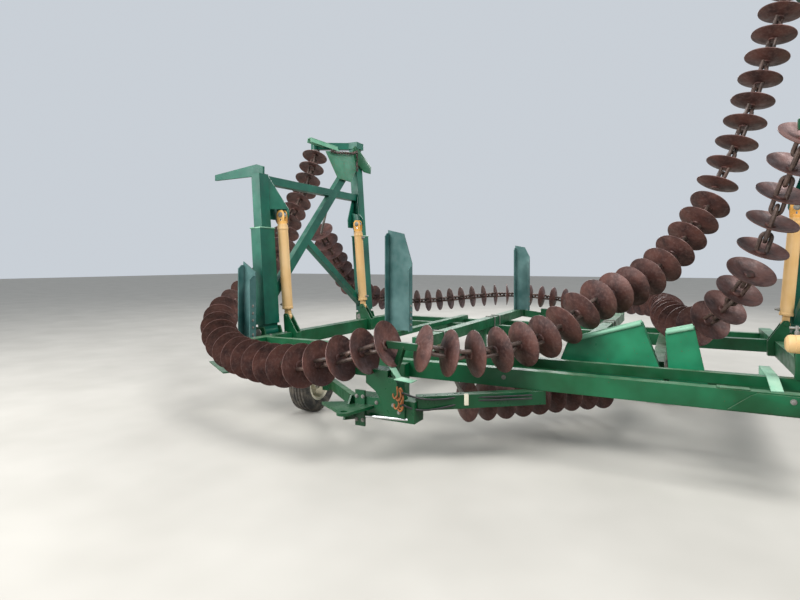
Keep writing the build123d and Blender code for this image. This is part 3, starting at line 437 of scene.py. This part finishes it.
def rod(bm, points, radius, turns=10, close=False):
    """Round rod swept through the points, with a frame carried along so that it doesn't twist."""
    points = [Vector(p) for p in points]
    count = len(points)
    rings = []
    side = None
    for i, point in enumerate(points):
        ahead = points[(i + 1) % count] if close or i < count - 1 else point
        behind = points[i - 1] if close or i > 0 else point
        tangent = (ahead - behind).normalized()
        if side is None:
            side = tangent.orthogonal().normalized()
        side = (side - tangent * side.dot(tangent)).normalized()
        other = tangent.cross(side)
        rings.append([bm.verts.new(point + radius * (
            math.cos(2 * math.pi * k / turns) * side + math.sin(2 * math.pi * k / turns) * other))
            for k in range(turns)])
    pairs = list(zip(rings, rings[1:]))
    if close:
        pairs.append((rings[-1], rings[0]))
    for low, high in pairs:
        for k in range(turns):
            m = (k + 1) % turns
            bm.faces.new((low[k], low[m], high[m], high[k]))
    if not close:
        bm.faces.new(rings[0][::-1])
        bm.faces.new(rings[-1])


def bolt(bm, place, size=0.012, washer=True):
    """Hex bolt head on a washer, standing on place's XY."""
    if washer:
        turned(bm, ((0.0, 0.0), (size * 1.5, 0.0), (size * 1.5, 0.003), (0.0, 0.003)), place, 16)
    top = size * 1.05
    turned(bm, ((0.0, 0.002), (size, 0.002), (size, size * 0.9), (size * 0.8, top), (0.0, top)), place, 6)


def wing_point(side, inboard, y, up):
    """A point on a wing: up along its leaning plane, inboard square to it."""
    x = HINGE[0] + up * math.sin(LEAN) - inboard * math.cos(LEAN)
    z = HINGE[1] + up * math.cos(LEAN) + inboard * math.sin(LEAN)
    return Vector((side * x, y, z))


def wing_face(side, inboard):
    """Plane along a wing: its X is the machine's Y, its Y runs up the wing."""
    origin = wing_point(side, inboard, 0, 0)
    up = Vector((side * math.sin(LEAN), 0, math.cos(LEAN)))
    along = Vector((0, 1, 0))
    return Matrix.Translation(origin) @ Matrix((along, up, along.cross(up))).transposed().to_4x4()


def upright(y):
    """Plane across the machine at y: its X is the machine's X, its Y is up."""
    return Matrix.Translation((0, y, 0)) @ Matrix.Rotation(math.radians(90), 4, "X")


def chain(bm, points, length, bar):
    """Welded link chain along the points, each link turned a quarter from the last."""
    samples = smooth_line(points)
    walked = 0.0
    flat = False
    last = samples[0]
    for spot in samples[1:]:
        walked += (spot - last).length
        last_spot, last = last, spot
        if walked < length * 0.72:
            continue
        walked = 0.0
        flat = not flat
        place = aimed(spot, spot - last_spot, math.radians(90) if flat else 0.0)
        half = length / 2 - bar
        wide = bar * 2.2
        ring = []
        for k in range(16):
            angle = 2 * math.pi * k / 16
            stretch = half - bar * 1.4 if math.sin(angle) > 0 else bar * 1.4 - half
            ring.append(place @ Vector((wide * math.cos(angle), 0, wide * math.sin(angle) + stretch)))
        rod(bm, ring, bar, 6, close=True)


def smooth_line(points, step=0.005):
    """Natural cubic through the points, by chord length, sampled about every step."""
    points = [Vector(p) for p in points]
    spans = [(b - a).length for a, b in zip(points, points[1:])]
    slopes = [(b - a) / span for a, b, span in zip(points, points[1:], spans)]
    bends = [Vector((0, 0, 0)) for _ in points]
    diagonal = [2 * (before + after) for before, after in zip(spans, spans[1:])]
    right = [6 * (after - before) for before, after in zip(slopes, slopes[1:])]
    for i in range(1, len(diagonal)):
        factor = spans[i] / diagonal[i - 1]
        diagonal[i] -= factor * spans[i]
        right[i] = right[i] - factor * right[i - 1]
    for i in range(len(diagonal) - 1, -1, -1):
        bends[i + 1] = (right[i] - bends[i + 2] * spans[i + 1]) / diagonal[i]
    samples = []
    for i, span in enumerate(spans):
        pieces = max(2, round(span / step))
        for k in range(pieces + (i == len(spans) - 1)):
            t = span * k / pieces
            a, b = span - t, t
            samples.append(
                bends[i] * a ** 3 / (6 * span) + bends[i + 1] * b ** 3 / (6 * span)
                + (points[i] / span - bends[i] * span / 6) * a
                + (points[i + 1] / span - bends[i + 1] * span / 6) * b)
    return samples


def disc_places(points):
    """Evenly spaced places along a run, with the direction of the run at each."""
    samples = smooth_line(points)
    lengths = [0.0]
    for a, b in zip(samples, samples[1:]):
        lengths.append(lengths[-1] + (b - a).length)
    count = round(lengths[-1] / PITCH)
    places = []
    index = 0
    for k in range(count + 1):
        wanted = lengths[-1] * k / count
        while index < len(lengths) - 2 and lengths[index + 1] < wanted:
            index += 1
        span = lengths[index + 1] - lengths[index]
        share = (wanted - lengths[index]) / span if span else 0.0
        tangent = (samples[index + 1] - samples[index]).normalized()
        places.append((samples[index].lerp(samples[index + 1], share), tangent))
    return places


DISC_RINGS = (0.0, 0.16, 0.32, 0.48, 0.62, 0.76, 0.88, 0.955, 1.0)
# These rim bands take the lighter steel, a painted highlight along each disc's rim
RIM_BANDS = (7, 8, 9, 10)   # both faces beside the rim, and the rim
HUB_BOSS = ((0.0, -0.012), (0.034, -0.012), (0.04, -0.004), (0.04, 0.012), (0.034, 0.018), (0.0, 0.018))
LOOP_HALF_WIDTH = 0.036
LOOP_OVERLAP = 0.034        # how far a loop reaches past the middle between two discs


def disc_profile(radius, depth, thick):
    """Both faces of a dished disc, from the centre out and back."""
    curve = (radius ** 2 + depth ** 2) / (2 * depth)
    outer, inner = [], []
    for share in DISC_RINGS:
        r = radius * share
        height = curve - math.sqrt(curve ** 2 - r ** 2) - depth * 0.45
        outer.append((r, height - thick / 2))
        inner.append((r, height + thick / 2))
    rim = [(radius + 0.001, outer[-1][1] + thick * 0.5)]
    return outer + rim + inner[::-1]


def u_loop(reach, half_width):
    """Points of a U loop along +Z: two legs from the disc and a round end."""
    points = [(half_width, 0, 0.0), (half_width, 0, reach - half_width)]
    for i in range(1, 8):
        angle = math.pi * i / 8
        points.append((half_width * math.cos(angle), 0, reach - half_width + half_width * math.sin(angle)))
    points += [(-half_width, 0, reach - half_width), (-half_width, 0, 0.0)]
    return points


class HARROW_OT_stage(bpy.types.Operator):
    """Pale floor, soft studio light and the camera at the photograph's viewing angle"""
    bl_idname = "harrow.stage"
    bl_label = "Stage"

    def execute(self, context):
        scene = context.scene
        settings = scene.harrow_stage
        floor_mesh = bpy.data.meshes.new("studio_floor")
        bm = bmesh.new()
        bmesh.ops.create_grid(bm, x_segments=1, y_segments=1, size=60.0)
        bm.to_mesh(floor_mesh)
        bm.free()
        floor = bpy.data.objects.new("studio_floor", floor_mesh)
        scene.collection.objects.link(floor)
        material, tree, shader, coords = start_material("pale_floor_matt", {"Roughness": 0.9})
        tone = ramp(tree, noise(tree, coords, 900, 2), ((0.3, linear("#aaa69e")), (0.7, linear("#b3afa7"))))
        tree.links.new(tone, shader.inputs["Base Color"])
        floor_mesh.materials.append(material)

        world = bpy.data.worlds.new("studio_world")
        scene.world = world
        world.use_nodes = True
        background = world.node_tree.nodes["Background"]
        background.inputs["Color"].default_value = linear("#dfe6ee")
        background.inputs["Strength"].default_value = settings.sky_light

        for name, place, aim, power, size in LIGHTS:
            data = bpy.data.lights.new(name, "AREA")
            data.energy = power
            data.size = size
            lamp = bpy.data.objects.new(name, data)
            lamp.location = place
            lamp.rotation_euler = (Vector(aim) - Vector(place)).to_track_quat("-Z", "Y").to_euler()
            scene.collection.objects.link(lamp)

        data = bpy.data.cameras.new("photo_camera")
        data.lens = settings.lens
        data.sensor_width = 36.0
        data.shift_y = CAMERA_SHIFT
        camera = bpy.data.objects.new("photo_camera", data)
        camera.location = CAMERA_PLACE
        camera.rotation_euler = (math.radians(90.0), 0.0, math.atan2(*CAMERA_HEADING))
        scene.collection.objects.link(camera)
        scene.camera = camera
        scene.view_settings.view_transform = "Standard"
        scene.view_settings.exposure = -0.1
        return {"FINISHED"}


class HARROW_OT_paint(bpy.types.Operator):
    """Weathered enamel, chrome and bare steel on the solids of the frame and wings"""
    bl_idname = "harrow.paint"
    bl_label = "Frame paint"

    def execute(self, context):
        Finishes.build()
        slot_of = {entry["node"]: entry["material_slot"] for entry in frame["record"]["subparts"]}
        for name, obj in frame["nodes"].items():
            Finishes.give(obj, NODE_FINISHES.get(name, SLOT_FINISHES[slot_of[name]][0]))
        return {"FINISHED"}


class HARROW_OT_disc_runs(bpy.types.Operator):
    """Dished discs with U shaped forged links that hook into each other, along every run"""
    bl_idname = "harrow.disc_runs"
    bl_label = "Disc runs"

    def execute(self, context):
        sizes = context.scene.harrow_discs
        radius = sizes.diameter / 2
        profile = disc_profile(radius, sizes.dish, sizes.thickness)
        hub_foot = -sizes.dish * 0.45
        for node, body, points in RUNS:
            discs, links = bmesh.new(), bmesh.new()
            places = disc_places(points)
            gap = (places[1][0] - places[0][0]).length
            reach = gap / 2 + LOOP_OVERLAP
            dish_way = -1 if node in HOLLOW_TOWARDS_START else 1
            *askew, left_over = SLACK.get(node, (0, 0, 0, 1.0))
            for index, (spot, tangent) in enumerate(places):
                roll = math.radians(45.0) if index % 2 else math.radians(-45.0)
                fade = 1.0 + (left_over - 1.0) * index / (len(places) - 1)
                lean = Euler([math.radians(angle * fade) for angle in askew]).to_matrix().to_4x4()
                turn = Matrix.Translation(spot) @ lean @ facing(tangent * dish_way)
                turned(discs, profile, turn, TURNS, accents=RIM_BANDS)
                turned(discs, [(across, hub_foot + along) for across, along in HUB_BOSS], turn, 20)
                for way, tilt in ((1, roll), (-1, roll)):
                    if (index == 0 and way < 0) or (index == len(places) - 1 and way > 0):
                        continue
                    loop = u_loop(reach, LOOP_HALF_WIDTH)
                    place = aimed(spot, tangent * way, tilt * way)
                    rod(links, [place @ Vector(p) for p in loop], sizes.link_bar / 2, 8)
            # The discs' rim bands get the second, lighter steel as a painted highlight
            finish_piece(discs, node.replace("_discs", "_dished_discs"), body, "disc", (node,), "edge")
            finish_piece(links, node.replace("_discs", "_forged_links"), body, "link")
        return {"FINISHED"}


class HARROW_OT_wheels(bpy.types.Operator):
    """Ribbed implement tyres on dished rims with bolted hubs"""
    bl_idname = "harrow.wheels"
    bl_label = "Wheels"

    def execute(self, context):
        for name, centre, radius, width in WHEELS:
            half = width / 2
            rim_r = radius * 0.56
            place = aimed(centre, (1, 0, 0))
            tread = []
            ribs = 5
            groove = 0.012
            tread_half = half * 0.78
            for i in range(ribs):
                left = -tread_half + 2 * tread_half * i / ribs + 0.004
                right = -tread_half + 2 * tread_half * (i + 1) / ribs - 0.004
                crown = radius - 0.014 * abs((left + right) / 2 / tread_half) ** 2
                tread += [(crown - groove, left - 0.002), (crown - 0.001, left + 0.001),
                          (crown, left + 0.004), (crown, right - 0.004),
                          (crown - 0.001, right - 0.001), (crown - groove, right + 0.002)]
            wall = radius - rim_r
            side = [(rim_r + wall * up, half * out) for up, out in (
                (0.0, 0.78), (0.06, 0.86), (0.3, 0.985), (0.5, 1.0), (0.72, 0.97))]
            side.append((radius - 0.026, half * 0.86))
            profile = [(r, -z) for r, z in side] + tread + side[::-1]
            bm = bmesh.new()
            turned(bm, profile, place, 72, closed=True)
            finish_piece(bm, f"{name}_ribbed_tyre", name, "rubber", replaces=(f"{name}_tyre",))
            bm = bmesh.new()
            for way in (-1, 1):
                turned(bm, [(rim_r + lift, way * half * out) for lift, out in (
                    (-0.004, 0.76), (0.012, 0.8), (0.014, 0.84), (-0.006, 0.83), (-0.014, 0.76))],
                    place, 48, closed=True)
            finish_piece(bm, f"{name}_rim_beads", name, "rim")
            bm = bmesh.new()
            hub = half * 0.6
            for way in (-1, 1):
                face = aimed(centre, (way, 0, 0))
                for k in range(5):
                    turn = face @ Matrix.Rotation(2 * math.pi * k / 5, 4, "Z")
                    bolt(bm, turn @ Matrix.Translation((0.045, 0, hub)), 0.009, washer=False)
                turned(bm, ((0.03, hub - 0.01), (0.03, hub + 0.02), (0.022, hub + 0.03), (0.0, hub + 0.032)),
                       face, 20)
            finish_piece(bm, f"{name}_hub_bolts", name, "bolt")
        return {"FINISHED"}


class HARROW_OT_cylinders(bpy.types.Operator):
    """Collars, ports, rod clevises, bushes and pins of the four wing cylinders"""
    bl_idname = "harrow.cylinders"
    bl_label = "Wing cylinders"

    def execute(self, context):
        base = Vector((CYL_BASE[0], 0, CYL_BASE[1]))
        eye = wing_point(1, CYL_EYE_IN, 0, CYL_EYE_UP)
        direction = (eye - base).normalized()
        places_y = (REAR_POST_Y + CYL_OFFSET_Y, FRONT_POST_Y - CYL_OFFSET_Y)
        for side, name in ((-1, "left"), (1, "right")):
            trim, ports, bushes, pins, clevises = (bmesh.new() for _ in range(5))
            for y in places_y:
                axis = Vector((side * direction.x, 0, direction.z))
                place = aimed((side * base.x, y, base.z), axis)
                inner = ROD_R + 0.0015
                for low, high, radius, bore in (
                    (BARREL_START - 0.003, BARREL_START + 0.03, BARREL_R + 0.003, BARREL_R - 0.001),
                    (BARREL_END - 0.06, BARREL_END - 0.026, BARREL_R + 0.004, BARREL_R - 0.001),
                    (BARREL_END - 0.004, BARREL_END + 0.014, BARREL_R - 0.006, inner),
                    (BARREL_END + 0.014, BARREL_END + 0.024, ROD_R + 0.012, inner),
                ):
                    turned(trim, ((bore, low), (radius - 0.002, low), (radius, low + 0.003),
                                  (radius, high - 0.003), (radius - 0.002, high), (bore, high)),
                           place, 40, closed=True)
                for along in (BARREL_START + 0.055, BARREL_END - 0.085):
                    outward = 1 if y > WING_MIDDLE_Y else -1
                    port = place @ Matrix.Translation((0, 0, along)) @ facing((0, outward, 0.001))
                    for outline, turns in ((PORT_NUT, 6), (PORT_STEM, 14)):
                        turned(ports, [(across, BARREL_R + out) for across, out in outline], port, turns)
                centre = Vector((side * eye.x, y, eye.z))
                for way in (-1, 1):
                    spot = aimed(centre, (0, way, 0))
                    turned(bushes, BUSH, spot, 28)
                    head = 0.054 if way > 0 else 0.032
                    turned(pins, [(across, head + out) for across, out in PIN_HEAD], spot, 28)
                clevis = place @ Matrix.Translation((0, 0, (eye - base).length))
                across = clevis @ Matrix(((0, 0, 1), (1, 0, 0), (0, 1, 0))).to_4x4()
                for shift in (-CLEVIS_SHIFT, CLEVIS_SHIFT):
                    plate(clevises, CLEVIS, 0.006, across @ Matrix.Translation((0, 0, shift)), 0.002)
                turned(clevises, ((ROD_R + 0.0005, -0.125), (0.046, -0.125), (0.052, -0.118), (0.052, -0.08),
                                  (ROD_R + 0.0005, -0.072)), clevis, 28, closed=True)
            finish_piece(clevises, f"{name}_rod_clevises", f"{name}_rods", "clevis")
            finish_piece(trim, f"{name}_cylinder_collars", f"{name}_barrels", "cream")
            finish_piece(ports, f"{name}_cylinder_ports", f"{name}_barrels", "bolt")
            finish_piece(bushes, f"{name}_rod_eye_bushes", f"{name}_rods", "bolt")
            finish_piece(pins, f"{name}_wing_eye_pins", f"{name}_wing", "bolt")
        return {"FINISHED"}


class HARROW_OT_tips(bpy.types.Operator):
    """Plates at the wing tips, swivel hubs, the left swivel arm and loose link chains"""
    bl_idname = "harrow.tips"
    bl_label = "Wing tips"

    def execute(self, context):
        for side, name, hub in ((-1, "left", HUB_LEFT), (1, "right", HUB_RIGHT)):
            bm = bmesh.new()
            plate(bm, TIP_WEB, 0.01, wing_face(side, 0.072), 0.002)
            finish_piece(bm, f"{name}_tip_web", f"{name}_wing", "worn")
            bm = bmesh.new()
            crown = [(TIP_PIN[0] + 0.095 * math.cos(a), TIP_PIN[1] + 0.095 * math.sin(a))
                     for a in (math.radians(40 + 35 * k) for k in range(5))]
            plate(bm, [(-0.03, 2.33)] + crown + [(-0.48, 2.33), (-0.26, 2.215), (-0.06, 2.215)],
                  0.012, wing_face(side, 0.084), 0.002)
            bolt(bm, wing_face(side, 0.09) @ Matrix.Translation((*TIP_PIN, 0)), 0.018)
            finish_piece(bm, f"{name}_tip_cheek", f"{name}_wing", "green")
            bm = bmesh.new()
            place = Matrix.Translation(hub)
            turned(bm, ((0.0, 0.11), (0.045, 0.11), (0.052, 0.116), (0.052, 0.135), (0.03, 0.14),
                        (0.03, 0.16), (0.024, 0.166), (0.0, 0.166)), place, 28)
            turned(bm, ((0.062, -0.042), (0.07, -0.036), (0.07, 0.0), (0.062, 0.006)), place, 32, True)
            for k in range(6):
                turn = place @ Matrix.Rotation(math.pi * k / 3, 4, "Z")
                bolt(bm, turn @ Matrix.Translation((0.046, 0, 0.11)), 0.006)
            finish_piece(bm, f"{name}_swivel_hub", f"{name}_wing", "bolt")
            bm = bmesh.new()
            high = wing_point(side, 0.11, -0.47, 2.495)
            far = wing_point(side, 0.105, -1.18, 2.385)
            sag = (high + far) / 2 - Vector((0, 0, 0.026))
            slack = Vector((0, 0, 0.018))
            chain(bm, (far, far.lerp(sag, 0.5) - slack, sag, high.lerp(sag, 0.5) - slack, high), 0.042, 0.007)
            chain(bm, (high, high - Vector((0.004, 0, 0.14)), high - Vector((0, 0, 0.29))), 0.042, 0.007)
            if side < 0:
                arm = bmesh.new()
                start, end = Vector((-3.3, -0.96, 3.43)), Vector((-3.09, -0.5, 3.345))
                place = aimed((start + end) / 2, end - start)
                for shift, width, height, y in ((0.0, 0.1, 0.01, 0.03), (0.045, 0.01, 0.06, 0.0),
                                                (-0.045, 0.01, 0.06, 0.0)):
                    plate(arm, oblong(shift - width / 2, shift + width / 2, y - height / 2, y + height / 2),
                          (end - start).length, place)
                finish_piece(arm, "left_swivel_arm", "left_wing", "bleached")
            finish_piece(bm, f"{name}_tip_chain", f"{name}_wing", "link")
        return {"FINISHED"}


class HARROW_OT_gussets(bpy.types.Operator):
    """Tapered gussets from each post's arm to the rod eye, their ears, and the lips of the posts' feet"""
    bl_idname = "harrow.gussets"
    bl_label = "Rod gussets"

    def execute(self, context):
        for side, name in ((-1, "left"), (1, "right")):
            bm = bmesh.new()
            for post_y, toward in ((REAR_POST_Y, 1), (FRONT_POST_Y, -1)):
                outline = [(post_y + toward * t, up) for t, up in GUSSET]
                plate(bm, outline[::toward], 0.014, wing_face(side, -0.02), 0.002)
                solid = [bm.verts.new(wing_point(side, inb, post_y + toward * (t + shift), up))
                         for shift in (-0.006, 0.006) for t, inb, up in GUSSET_WEB]
                bm.faces.new(solid[3::-1])
                bm.faces.new(solid[4:])
                for k in range(4):
                    bm.faces.new((solid[k], solid[(k + 1) % 4], solid[(k + 1) % 4 + 4], solid[k + 4]))
                centre = post_y + toward * CYL_OFFSET_Y
                ear = [wing_point(side, inb, 0, up).xz for inb, up in EAR]
                plate(bm, ear[::side], 0.016, upright(centre + EAR_SHIFT), 0.002)
            finish_piece(bm, f"{name}_rod_gussets", f"{name}_wing", "wing", replaces=(f"{name}_rod_ears",))
            bm = bmesh.new()
            for post_y in (REAR_POST_Y, FRONT_POST_Y):
                ring = [wing_point(side, across, post_y + along, COLUMN_TOP)
                        for across, along in oblong(-0.074, 0.074, -0.129, 0.129)]
                rod(bm, ring, 0.008, 8, close=True)
            finish_piece(bm, f"{name}_column_lips", f"{name}_wing", "bleached")
        return {"FINISHED"}


class HARROW_OT_tail(bpy.types.Operator):
    """Folded sheets, ram rod, pipes, hooks and bolts on the rear centre assembly"""
    bl_idname = "harrow.tail"
    bl_label = "Tail trim"

    def execute(self, context):
        bm = bmesh.new()
        for (x0, z0), (x1, z1), (y0, y1) in (((-0.405, 0.79), (-0.345, 0.705), (-3.8, -3.715)),
                                             ((-0.35, 0.705), (-0.205, 0.69), (-3.83, -3.715))):
            slope = math.atan2(z1 - z0, x1 - x0)
            length = math.hypot(x1 - x0, z1 - z0)
            middle = Matrix.Translation(((x0 + x1) / 2, (y0 + y1) / 2, (z0 + z1) / 2))
            half, deep = length / 2, (y1 - y0) / 2
            plate(bm, ((-half, -deep), (half, -deep + 0.012), (half, deep), (-half, deep)), 0.006,
                  middle @ Matrix.Rotation(-slope, 4, "Y"), 0.0015)
        finish_piece(bm, "tail_folded_sheet", "frame", "bleached")

        bm = bmesh.new()
        turned(bm, ((0.0, 0.0), (0.013, 0.0), (0.013, 0.36), (0.0, 0.36)),
               aimed((-0.64, -3.762, 0.372), (1, 0.12, 0.012)), 24)
        finish_piece(bm, "tail_ram_rod", "frame", "chrome")

        bm = bmesh.new()
        for spot in ((-0.735, -3.749, 0.52), (-0.677, -3.749, 0.52), (-0.735, -3.749, 0.33),
                     (-0.677, -3.749, 0.33), (-0.56, -3.73, 0.48), (-0.33, -3.742, 0.6),
                     (-0.4, -3.742, 0.48), (-0.35, -3.742, 0.43)):
            bolt(bm, aimed(spot, (0, -1, 0)), 0.011)
        finish_piece(bm, "tail_bolts", "frame", "bolt")

        bm = bmesh.new()
        for lift, run in PIPES:
            rod(bm, smooth_line([Vector(p) + Vector((0, 0, lift)) for p in run], 0.02), PIPE_R, 12)
            rod(bm, ((0.06, -3.47, 0.512 + lift * 0.6), (0.56, -3.19, 0.53 + lift * 0.6)), PIPE_R, 12)
        finish_piece(bm, "tail_steel_pipes", "frame", "pipe")
        bm = bmesh.new()
        place = Matrix.Translation((0.1, -3.452, 0.515)) @ Matrix.Rotation(math.radians(29.3), 4, "Z") \
            @ Matrix.Rotation(math.radians(90), 4, "X")
        plate(bm, oblong(-0.018, 0.018, -0.04, 0.048), 0.034, place, 0.003)
        finish_piece(bm, "pipe_clip", "frame", "rim")
        bm = bmesh.new()
        for x, z in ((-0.35, 0.64), (-0.322, 0.625), (-0.34, 0.56), (-0.305, 0.545)):
            hook = [(x, -3.772, z), (x + 0.006, -3.778, z - 0.04), (x + 0.004, -3.782, z - 0.075),
                    (x - 0.014, -3.784, z - 0.092), (x - 0.03, -3.78, z - 0.08),
                    (x - 0.032, -3.776, z - 0.058)]
            rod(bm, smooth_line(hook, 0.008), 0.0075, 8)
        chain(bm, ((-0.33, -3.775, 0.64), (-0.3, -3.78, 0.56), (-0.318, -3.78, 0.48)), 0.04, 0.006)
        finish_piece(bm, "tail_hooks", "frame", "orange")
        return {"FINISHED"}


class HARROW_OT_beam_trim(bpy.types.Operator):
    """Lap plate and strap on the rear beams, the saddles' rolled lips and the rail's accumulator"""
    bl_idname = "harrow.beam_trim"
    bl_label = "Beam trim"

    def execute(self, context):
        rear_face = REAR_BEAM_Y - 0.05
        bm = bmesh.new()
        plate(bm, ((1.9, 0.58), (2.484, 0.58), (2.484, 0.708), (2.08, 0.712), (2.04, 0.69)), 0.01,
              upright(rear_face - 0.005), 0.0015)
        plate(bm, oblong(1.84, 2.04, -3.095, -3.01), 0.008,
              Matrix.Translation((0, 0, BEAM_TOP + 0.004)), 0.0015)
        finish_piece(bm, "rear_beam_lap_plate", "frame", "green")

        bm = bmesh.new()
        plate(bm, oblong(2.16, 2.235, -2.83, -2.4), 0.01, Matrix.Translation((0, 0, 0.7855)), 0.002)
        plate(bm, oblong(2.16, 2.235, -0.121, 0.119), 0.01,
              Matrix.Translation((0, -2.945, 0.7555)) @ Matrix.Rotation(math.radians(14.6), 4, "X"), 0.002)
        plate(bm, oblong(2.16, 2.235, -2.47, -2.4), 0.06, Matrix.Translation((0, 0, 0.7505)), 0.002)
        finish_piece(bm, "cross_strap", "frame", "bleached")

        bm = bmesh.new()
        for (x0, z0), (x1, z1) in (((0.74, 0.925), (1.33, 1.11)), ((1.5, 1.04), (1.71, 1.095))):
            for y in (-2.662, -2.512):
                lean = Vector((x1 - x0, 0, z1 - z0)).normalized()
                points = [Vector((x0, y, z0)) + lean * 0.008, Vector((x1, y, z1)) - lean * 0.008]
                rod(bm, points, 0.017, 14)
        finish_piece(bm, "saddle_rolled_lips", "frame", "bleached")

        bm = bmesh.new()
        for spot in ((2.281, rear_face - 0.01, 0.675), (0.3, rear_face, 0.65),
                     (-1.2, rear_face, 0.65), (-2.3, rear_face, 0.65)):
            bolt(bm, aimed(spot, (0, -1, 0)), 0.013)
        for x in (-SIDE_X, SIDE_X):
            for y in (-2.95, -2.68, -2.41, -0.49, -0.21):
                bolt(bm, Matrix.Translation((x, y, SIDE_TOP)), 0.011)
        finish_piece(bm, "beam_bolts", "frame", "bolt")

        bm = bmesh.new()
        axis = aimed(ACCUMULATOR, (1, 0, 0))
        turned(bm, ((0.0, -0.01), (0.04, -0.01), (0.06, 0.004), (0.066, 0.022), (0.066, 0.33),
                    (0.058, 0.342), (0.0, 0.342)), axis, 40)
        turned(bm, ((0.06, 0.045), (0.069, 0.048), (0.069, 0.075), (0.06, 0.078)), axis, 40, closed=True)
        finish_piece(bm, "rail_accumulator", "frame", "cream")
        bm = bmesh.new()
        for x in (2.365, 2.555):
            plate(bm, oblong(x - 0.035, x + 0.035, 0.775, 0.966), 0.06, upright(ACCUMULATOR[1]), 0.003)
        finish_piece(bm, "accumulator_feet", "frame", "green")
        bm = bmesh.new()
        turned(bm, ((0.0, 0.0), (0.016, 0.0), (0.016, 0.03), (0.01, 0.034), (0.01, 0.07), (0.0, 0.072)),
               Matrix.Translation((2.345, ACCUMULATOR[1], 1.086)), 16)
        rod(bm, ((2.3, ACCUMULATOR[1], 1.141), (2.39, ACCUMULATOR[1], 1.141)), 0.008, 10)
        finish_piece(bm, "accumulator_valve", "frame", "bolt")
        return {"FINISHED"}


class HARROW_OT_fasteners(bpy.types.Operator):
    """Hinge pin heads, bolts on the guide posts, and U bolts on the long beams"""
    bl_idname = "harrow.fasteners"
    bl_label = "Fasteners"

    def execute(self, context):
        bm = bmesh.new()
        for side in (-1, 1):
            for y in (REAR_POST_Y, FRONT_POST_Y):
                for way in (-1, 1):
                    spot = aimed((side * HINGE[0], y + way * HINGE_PIN_HALF, HINGE[1]), (0, way, 0))
                    turned(bm, ((0.0, -0.004), (0.04, -0.004), (0.04, 0.006), (0.036, 0.009), (0.0, 0.009)),
                           spot, 28)
        finish_piece(bm, "hinge_pin_heads", "frame", "bolt")

        bm = bmesh.new()
        for x, y, low, step, count in ((-2.64, -2.875, 0.72, 0.08, 6), (-1.275, -1.655, 0.86, 0.075, 4),
                                       (-0.57, 1.255, 0.9, 0.08, 3)):
            for k in range(count):
                bolt(bm, aimed((x, y, low + k * step), (1, 0, 0)), 0.011)
        finish_piece(bm, "guide_post_bolts", "frame", "bolt")

        bm = bmesh.new()
        for side in (-1, 1):
            for y in (-2.33, -1.95, -0.12, 0.12):
                top = BEAM_TOP + 0.12 + 0.008
                points = [(side * SPINE_X - 0.068, y, 0.56), (side * SPINE_X - 0.068, y, top - 0.012),
                          (side * SPINE_X - 0.056, y, top), (side * SPINE_X + 0.056, y, top),
                          (side * SPINE_X + 0.068, y, top - 0.012), (side * SPINE_X + 0.068, y, 0.56)]
                rod(bm, points, 0.008, 10)
        finish_piece(bm, "beam_u_bolts", "frame", "bolt")
        return {"FINISHED"}


def colour_property(name, description, default):
    return bpy.props.StringProperty(name=name, description=f"{description}, as sRGB hex", default=default)


def length_property(name, description, default, low, high):
    return bpy.props.FloatProperty(
        name=name, description=description, default=default, min=low, max=high,
        subtype="DISTANCE", unit="LENGTH")


class HarrowColours(bpy.types.PropertyGroup):
    paint: colour_property("Paint", "Green of the enamel in the shade", "#04401f")
    faded_paint: colour_property("Faded paint", "Green of the enamel where the sun has faded it", "#12603c")
    disc: colour_property("Disc rust", "Main brown of the discs", "#66423a")
    cylinder: colour_property("Cylinder paint", "Cream of the wing cylinders", "#cda266")


class HarrowDiscs(bpy.types.PropertyGroup):
    diameter: length_property("Disc diameter", "Across the rim of a disc", 0.378, 0.2, 0.5)
    dish: length_property("Dish", "Depth of a disc's hollow", 0.042, 0.01, 0.08)
    thickness: length_property("Thickness", "Steel thickness of a disc", 0.007, 0.003, 0.012)
    link_bar: length_property("Link bar", "Diameter of the forged bar of a link", 0.034, 0.01, 0.05)


class HarrowStage(bpy.types.PropertyGroup):
    lens: bpy.props.FloatProperty(
        name="Lens", description="Focal length on a 36 mm sensor", default=24.5, min=10.0, max=100.0,
        unit="CAMERA")
    sky_light: bpy.props.FloatProperty(
        name="Sky light", description="Strength of the even light from all round", default=0.85,
        min=0.0, max=3.0)


OPERATORS = (
    HARROW_OT_stage, HARROW_OT_paint, HARROW_OT_disc_runs, HARROW_OT_wheels, HARROW_OT_cylinders,
    HARROW_OT_gussets, HARROW_OT_tips, HARROW_OT_tail, HARROW_OT_beam_trim, HARROW_OT_fasteners,
)
GROUPS = {"harrow_colours": HarrowColours, "harrow_discs": HarrowDiscs, "harrow_stage": HarrowStage}


class HARROW_PT_panel(bpy.types.Panel):
    """Lists the harrow's operators and sizes"""
    bl_idname = "HARROW_PT_panel"
    bl_label = "Disc chain harrow"
    bl_space_type = "VIEW_3D"
    bl_region_type = "UI"
    bl_category = "Harrow"

    def draw(self, context):
        for operator in OPERATORS:
            self.layout.operator(operator.bl_idname)
        for key, group in GROUPS.items():
            for name in group.__annotations__:
                self.layout.prop(getattr(context.scene, key), name)


CLASSES = (*GROUPS.values(), *OPERATORS, HARROW_PT_panel)


def register():
    for cls in CLASSES:
        bpy.utils.register_class(cls)
    for name, group in GROUPS.items():
        setattr(bpy.types.Scene, name, bpy.props.PointerProperty(type=group))


def unregister():
    for name in GROUPS:
        delattr(bpy.types.Scene, name)
    for cls in reversed(CLASSES):
        bpy.utils.unregister_class(cls)


def main():
    register()
    for operator in OPERATORS:
        group, name = operator.bl_idname.split(".")
        getattr(getattr(bpy.ops, group), name)()


if __name__ == "__main__":
    main()
